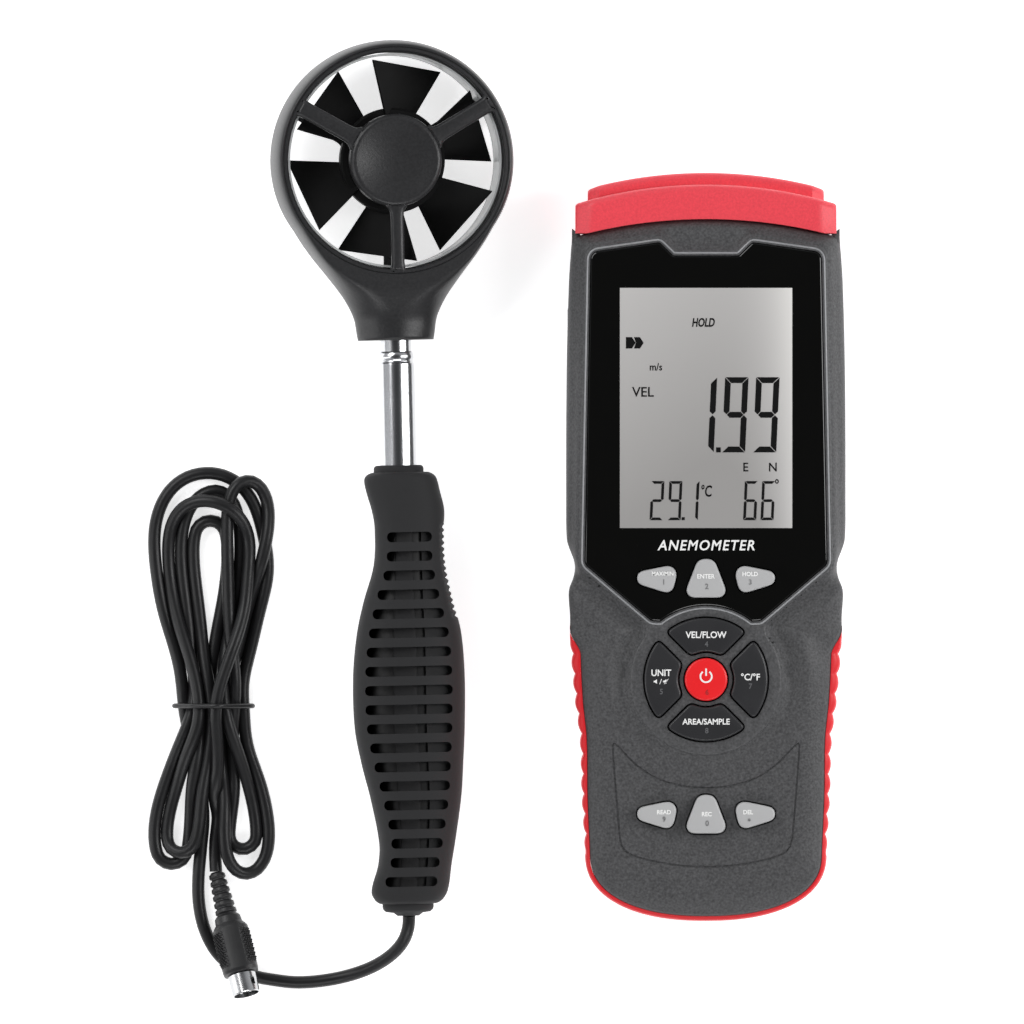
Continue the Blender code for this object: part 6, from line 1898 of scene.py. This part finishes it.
@dataclass
class Handle:
    """The probe's handle: a rubber sleeve with cross slots over a plastic core, and its ends.

    Distances run down from the mast's foot; widths are to the left and right of the mast's axis.
    """

    axes: Axes
    widths: tuple = (
        (1.7, 9.2, 9.9), (3.6, 10.4, 11.3), (7.7, 9.8, 12.3), (12.8, 8.4, 13.4), (18.2, 7.6, 13.3),
        (29.3, 8.1, 13.5), (40.8, 11.5, 15.6), (49.9, 13.6, 17.7), (62.3, 15.0, 18.5), (77.9, 14.9, 18.2),
        (89.3, 13.0, 17.5), (99.4, 10.6, 16.7), (112.7, 8.3, 14.6), (119.2, 8.7, 13.4), (127.5, 10.9, 12.0),
        (131.2, 9.3, 9.8),
    )
    depths: tuple = (
        (1.7, 9.4, 9.4), (18.2, 11.5, 10.6), (62.3, 17.0, 15.0), (112.7, 12.5, 12.0), (131.2, 9.6, 9.6)
    )
    power: float = 2.5
    slots: int = 19
    first: float = 21.2
    pitch: float = 5.74
    slot_height: float = 3.0
    margin: float = 3.7
    wall: float = 1.3
    ridge: tuple[float, float, float] = (16.5, 46.0, 1.9)
    body: str = "probe"

    def reaches(self, down: np.ndarray | float) -> list[np.ndarray]:
        """Returns how far the handle reaches left and right of the mast's axis, below and above it."""
        found = []
        for stations in (self.widths, self.depths):
            at, first, second = np.array(stations, float).T
            found += [along(list(zip(at, first)), down), along(list(zip(at, second)), down)]
        return found

    def sections(
        self, down: np.ndarray, inset: np.ndarray | float, sides: int = 96, ridged: bool = False
    ) -> np.ndarray:
        """Sections across the handle: |x / w|^p + |z / d|^p = 1, each quarter with its own w and d.

        Args:
            down: Where each section is.
            inset: How far each lies inside the handle's surface.
            sides: Points round each section.
            ridged: Whether the fine ridges along the right edge are raised on it.

        Returns:
            Sections x sides x 3, in the probe's own directions.
        """
        down = np.asarray(down, float)
        left, right, below, above = self.reaches(down)
        angle = np.linspace(0, 2 * np.pi, sides, endpoint=False)
        c, s = np.cos(angle), np.sin(angle)
        share = 2 / self.power
        inset = np.broadcast_to(inset, down.shape)[:, None]
        wide = np.where(c > 0, right[:, None], left[:, None]) - inset
        deep = np.where(s > 0, above[:, None], below[:, None]) - inset
        if ridged:
            start, end, step = self.ridge
            inside = ease(down - start) * (1 - ease(down - end + 1.0))
            wave = (inside * (1 - np.abs(np.sin(np.pi * (down - start) / step))) * 0.9)[:, None]
            wide = wide - np.where(c > 0.86, wave * ease((c - 0.86) / 0.1), 0.0)
        x = np.sign(c) * np.abs(c) ** share * wide
        z = np.sign(s) * np.abs(s) ** share * deep
        return np.stack([x, np.broadcast_to(-down[:, None], x.shape), z], axis=-1)

    def sleeve(self) -> Surface:
        """The rubber sleeve: its outer surface, rolled over at both ends, and its inner one."""
        first, last = self.widths[0][0], self.widths[-1][0]
        middle = np.arange(first + 1.4, last - 1.6, 0.5)
        roll = np.linspace(0, np.pi / 2, 6)[:-1]
        top, bottom = first + 1.4 - 1.4 * np.cos(roll), last - 1.6 + 1.6 * np.cos(roll[::-1])
        down = np.concatenate([top, middle, bottom])
        inset = np.concatenate(
            [1.4 * (1 - np.sin(roll)), np.zeros(len(middle)), 1.6 * (1 - np.sin(roll[::-1]))]
        )
        outer = self.sections(down, inset, ridged=True)
        within = np.linspace(last - 0.02, first + 0.02, 60)
        inner = self.sections(within, self.wall + 1.6)
        return self.axes.on_probe(grid(np.concatenate([outer, inner]), Ends.JOINED))

    def slot(self, k: int, rise: tuple[float, float], shrink: float = 0.0) -> Surface:
        """One cross slot as a block with round ends, between two heights."""
        down = self.first + k * self.pitch
        left, right, _, _ = self.reaches(down)
        start, end = self.margin - float(left), float(right) - self.margin
        half = self.slot_height / 2 - shrink
        box = [(start, -down - half), (end, -down - half), (end, -down + half), (start, -down + half)]
        return self.axes.on_probe(slab(filleted(box, half * 0.93, 6, closed=True), *rise))

    def core(self) -> Surface:
        """The core inside the sleeve, with the bore that the mast slides in."""
        down = np.linspace(2.4, 130.4, 120)
        outer = self.sections(down, self.wall + 1.9, 72)
        turn = np.linspace(0, 2 * np.pi, 72, endpoint=False)
        ring = np.stack([np.cos(turn), 0 * turn, np.sin(turn)], axis=-1)
        bore = [ring * r - np.array([0, d, 0]) for r, d in ((0.01, 99.0), (5.8, 99.0), (5.8, 2.4))]
        end = [np.zeros((72, 3)) - np.array([0, 130.4, 0])]
        return self.axes.on_probe(grid(np.concatenate([np.array(bore), outer, np.array(end)]), Ends.OPEN))

    def ribs(self) -> Surface:
        """What shows through the slots: a rounded spine up the middle and a flat block to its right,
        both following the handle's surface from below."""
        down = np.linspace(18.0, 127.0, 110)
        left, wide, _, top = self.reaches(down)
        shift = (wide - left) / 2
        half = 2.6 + 1.0 * ease((down - 20) / 40) * (1 - ease((down - 90) / 35))
        turn = np.linspace(0, np.pi, 15)
        x = shift[:, None] * 0.4 + np.cos(turn) * half[:, None]
        z = top[:, None] - self.wall - 2.2 + 1.1 * np.sin(turn) ** 0.7
        arch = np.stack([x, np.broadcast_to(-down[:, None], x.shape), z], axis=-1)
        base = arch[:, ::-1][:, [0, -1]] - [0, 0, 4.0]
        spine = grid(np.concatenate([arch, base], axis=1))
        start = shift * 0.4 + half + 2.6
        stop = wide - 2.6
        lie = top * (1 - (np.abs(start + 1.0) / wide) ** self.power) ** (1 / self.power) - self.wall - 0.9
        low = top * (1 - np.minimum(0.93, (stop / wide)) ** self.power) ** (1 / self.power) - self.wall - 0.4
        rows = [(start, lie), (stop, low), (stop, low - 4), (start, low - 4)]
        block = np.stack([np.column_stack([a, -down, b]) for a, b in rows], axis=1)
        return self.axes.on_probe(spine.plus(grid(block)))

    def build(self) -> None:
        """Makes the sleeve, its core, the collar and the gland."""
        sleeve = put("handle_sleeve", self.sleeve(), SLEEVE_RUBBER, self.body, ("grip_sleeve",), 60)
        cuts = [self.slot(k, (1.5, 20.0)) for k in range(self.slots)]
        combined(sleeve, cuts, False, 50)
        put("handle_core", self.core(), SLOT_CORE, self.body, ("handle_core_front", "handle_core_rear"))
        put("handle_core_ribs", self.ribs(), SLEEVE_RUBBER, self.body)
        lip = [(5.6, -2.0), (7.5, -2.0), (7.5, -0.5), (7.2, 0.1), (6.6, 0.4), (5.9, 0.4), (5.6, 0.2)]
        put(
            "mast_collar_lip", self.axes.along_mast(turned(lip, 72, True)), SLEEVE_RUBBER, self.body,
            ("mast_collar",)
        )
        low = -self.widths[-1][0]
        gland = [
            (0.0, low + 1.0), (7.6, low + 1.0), (7.7, low - 0.9), (7.4, low - 1.8), (6.6, low - 2.4),
            (4.4, low - 2.7), (3.2, low - 3.6), (2.2, low - 3.6), (0.0, low - 3.2)
        ]
        put(
            "handle_cord_gland", self.axes.along_mast(turned(gland, 72)), SLEEVE_RUBBER, self.body,
            ("handle_gland",)
        )


@dataclass
class Mast:
    """The two chromed tubes of the telescopic mast, by height above the outer one's foot.

    Args:
        axes: The probe's own directions.
        outer: Radius of the outer tube.
        inner: Radius of the inner tube.
        top: Height of the outer tube's mouth.
        swage: How far below the mouth the swage starts.
        neck: Height of the vane head's lower end.
        ends: Lower ends of the outer tube and of the inner one, inside the handle.
    """

    axes: Axes
    outer: float = 5.5
    inner: float = 4.65
    top: float = 34.5
    swage: float = 3.0
    neck: float = 37.9
    ends: tuple[float, float] = (-97.0, -93.0)

    def build(self) -> None:
        """Makes both tubes, the outer one swaged in at its mouth."""
        r, bore = self.outer, self.inner + 0.15
        shoulder = self.top - self.swage
        outer = [
            (r, self.ends[0]), (r, shoulder - 1.0), (r - 0.05, shoulder - 0.6), (r - 0.42, shoulder - 0.15),
            (r - 0.48, shoulder + 0.25)
        ]
        outer += [
            (r - 0.15, shoulder + 0.9), (r - 0.1, shoulder + 1.5), (r - 0.35, self.top - 0.35),
            (r - 0.6, self.top), (bore, self.top), (bore, self.ends[0])
        ]
        put(
            "mast_outer_tube_chromed", self.axes.along_mast(turned(outer, 96, True)), CHROME, "probe",
            ("mast_outer_tube",), 30
        )
        q = self.inner
        inner = [(q - 0.6, self.ends[1]), (q, self.ends[1]), (q, self.neck + 9.0), (q - 0.6, self.neck + 9.0)]
        put(
            "mast_inner_tube_chromed", self.axes.along_mast(turned(inner, 96, True)), CHROME, "mast",
            ("mast_inner_tube",), 30
        )


@dataclass
class VaneHead:
    """The vane head: a duct in a ring whose neck flows down to the mast, two guards and the vane.

    Args:
        axes: The probe's own directions.
        duct: Radius of the bore.
        ring: Radius of the ring's outside.
        half: Half the ring's depth.
        seat: Radius and height of the step that each guard sits on.
        foot: How far the neck's lower end is from the duct's middle.
        flare: The neck's half-width, by height above that end.
        hub: Radius of the guards' hub.
        spokes: Each spoke's direction in degrees, and its width.
        blades: How many blades the vane has.
        blade: One blade's outline, out along X.
        blade_half: Half a blade's thickness.
        blade_pitch: Degrees that each blade is turned about its own length.
        first_blade: Where the first blade points, in degrees.
        body: The body that it rides on.
    """

    axes: Axes
    duct: float = 32.5
    ring: float = 36.2
    half: float = 11.6
    seat: tuple[float, float] = (34.0, 9.2)
    foot: float = 53.9
    flare: tuple = (
        (0.0, 11.4), (2.0, 11.75), (6.0, 12.35), (9.0, 13.45), (13.0, 15.6), (17.0, 18.3), (21.0, 21.2),
        (25.0, 24.2), (29.0, 27.0), (32.5, 29.15), (35.5, 30.9),
    )
    hub: float = 13.9
    spokes: tuple = ((270.0, 3.9), (150.0, 5.0), (30.0, 5.0))
    blades: int = 6
    blade: tuple = ((12.3, -4.8), (28.8, -13.3), (28.8, 13.3), (12.3, 4.8))
    blade_half: float = 0.4
    blade_pitch: float = 33.0
    first_blade: float = 20.0
    body: str = "head"

    def outline(self) -> np.ndarray:
        """The silhouette: up the neck's flare to where it meets the ring, round it and back."""
        up = np.linspace(0, 33.5, 60)
        side = np.column_stack([along(self.flare, up), up - self.foot])
        meet = math.atan2(side[-1, 1], side[-1, 0])
        angle = np.linspace(meet, np.pi / 2, 130)[1:]
        reach = self.ring + (np.linalg.norm(side[-1]) - self.ring) * np.exp(-(angle - meet) / 0.2)
        arc = np.column_stack([reach * np.cos(angle), reach * np.sin(angle)])
        base = np.column_stack([np.linspace(0, self.flare[0][1], 14)[:-1], np.full(13, -self.foot)])
        right = np.vstack([base, side, arc])
        right[-1, 0] = 0.0
        return np.array(mirror([tuple(p) for p in right]))

    def housing(self) -> Surface:
        """The ring and neck: over each point of the silhouette a section from the bore's middle up to
        its lip, out over the face and down to the silhouette, and the same below.

        The face's height is h (1 - (1 - d / e)^p)^(1/p), d being the distance in from the side. The
        reach e grows and the height h falls from the ring to the neck's foot.
        """
        line = self.outline()
        radius = np.linalg.norm(line, axis=1)
        ray = line / radius[:, None]
        sides = line[np.abs(line[:, 1] + self.foot) > 0.01]
        far = np.array([[-self.flare[0][1], -self.foot - 30], [self.flare[0][1], -self.foot - 30]])
        closed = np.vstack([sides, far])
        lip, share = self.seat[0] + 0.3, 1 - (1 - np.linspace(0, 1, 26)) ** 2.3
        reach = lip + (radius[None] - lip) * share[:, None]
        flat = reach[..., None] * ray[None]
        inside = np.maximum(-away(flat.reshape(-1, 2), closed), 0.0).reshape(reach.shape)
        inside[-1] = np.where(np.abs(line[:, 1] + self.foot) < 0.01, inside[-1], 0.0)
        down = -flat[..., 1]
        soft = 1.9 + 10.4 * ease((down - 29) / 19)
        tall = self.half - 2.2 * ease((down - 35.5) / 13)
        power = 2.4 - 0.4 * ease((down - 34) / 8)
        z = tall * (1 - np.clip(1 - inside / soft, 0, 1) ** power) ** (1 / power)
        z -= 1.0 * (1 - np.sqrt(1 - np.clip(1 - (self.foot - down) / 1.0, 0, 1) ** 2)) * (z > 0.1)
        z = np.maximum(z, 0.0)
        face = np.concatenate([flat, z[..., None]], axis=-1)
        inner = [
            (self.duct, 0.0), (self.duct, self.seat[1]), (self.seat[0], self.seat[1]),
            (self.seat[0], self.half - 0.3)
        ]
        bore = np.array([np.column_stack([ray * r, np.full(len(ray), h)]) for r, h in inner])
        upper = np.concatenate([bore, face])
        lower = upper[::-1] * [1, 1, -1]
        return self.axes.on_head(grid(np.concatenate([upper, lower]), Ends.JOINED))

    def guard(self, name: str, replaces: str, sign: float) -> None:
        """A guard: a dished hub, three spokes with flared ends, and the rim that seats in the ring."""
        h = self.hub
        hub = [
            (0.0, 6.3), (h - 0.4, 6.3), (h, 6.8), (h, 10.0), (h - 0.1, 10.7), (h - 0.45, 11.3),
            (h - 0.95, 11.68), (h - 1.5, 11.8), (h - 2.1, 11.68)
        ]
        hub += [(r, 11.68 - 1.5 * (1 - (r / (h - 2.1)) ** 2) ** 1.1) for r in np.linspace(h - 2.8, 0, 14)]
        rim = [(32.7, 9.5), (33.93, 9.5), (33.93, 11.3), (33.8, 11.45), (32.95, 11.5), (32.7, 11.2)]
        pieces = [turned(rim, 160, True)]
        for angle, width in self.spokes:
            r = np.linspace(h - 1.2, 33.2, 40)
            wide = width / 2 + 1.3 * np.exp(-np.maximum(r - h, 0.0) / 0.8) + 0.9 * np.exp((r - 33.2) / 0.7)
            bar = slab([*zip(r, -wide), *zip(r[::-1], wide[::-1])], 9.4, 11.5, 1.2, 5)
            pieces.append(bar.moved(turn_about(UP, angle), (0, 0, 0)))
        flip = np.diag([1.0, 1.0, sign])
        places = [self.axes.on_head(piece.moved(flip, (0, 0, 0))) for piece in [turned(hub, 120)] + pieces]
        guard = put(name, places[0], HEAD_NYLON, self.body, (replaces,), 40)
        combined(guard, places[1:], True, 40)

    def vane(self) -> None:
        """The impeller: a hub disc and six flat blades, each a plate set at a pitch."""
        hub = [
            (0.0, -2.6), (15.2, -2.6), (15.8, -2.0), (15.8, 2.0), (15.2, 2.6), (13.6, 2.6), (13.2, 2.1),
            (3.0, 2.1), (2.8, 2.9), (0.0, 2.9)
        ]
        blades = []
        for k in range(self.blades):
            plate = slab(self.blade, -self.blade_half, self.blade_half)
            pitched = plate.moved(turn_about((1, 0, 0), self.blade_pitch), (0, 0, 0))
            turn = turn_about(UP, self.first_blade + 360 / self.blades * k)
            blades.append(pitched.moved(turn, (0, 0, 0)))
        made = put(
            "vane_impeller", self.axes.on_head(turned(hub, 96)), VANE_NYLON, "impeller", ("impeller",), 30
        )
        combined(made, [self.axes.on_head(blade) for blade in blades], True, 30)

    def build(self) -> None:
        """Makes the housing, the liner, both guards and the vane."""
        put("vane_head_housing", self.housing(), HEAD_NYLON, self.body, ("head_housing",), 42)
        band = [
            (31.62, -8.0), (32.2, -8.0), (32.2, 8.0), (31.62, 8.0), (31.5, 7.0), (31.62, 6.2),
            (31.62, -6.2), (31.5, -7.0)
        ]
        put(
            "duct_liner_band", self.axes.on_head(turned(band, 160, True)), LINER_PC, self.body,
            ("duct_liner",)
        )
        self.guard("front_vane_guard", "front_guard", 1.0)
        self.guard("rear_vane_guard", "rear_guard", -1.0)
        self.vane()


def dress_inside() -> None:
    """Gives the CAD's inner parts their materials."""
    dress(
        {
            BOARD_GLASS: ["main_board"],
            LIGHT_GUIDE: ["lcd_backlight"],
            BATTERY_CAN: ["battery"],
            STEEL: ["bearing_front", "bearing_rear", "impeller_shaft", "usb_socket"],
            SLOT_CORE: ["buzzer", "probe_socket", "pickup_sensor", "thermistor"],
            KEYPAD_SILICONE: ["keypad_sheet"],
        }
    )


def main() -> None:
    """Builds the studio and every piece in order."""
    logging.basicConfig(level=logging.INFO, format="%(message)s")
    Studio().build()
    Cord().build()
    Meter().build()
    axes = Axes()
    Handle(axes).build()
    Mast(axes).build()
    VaneHead(axes).build()
    dress_inside()


if __name__ == "__main__":
    main()
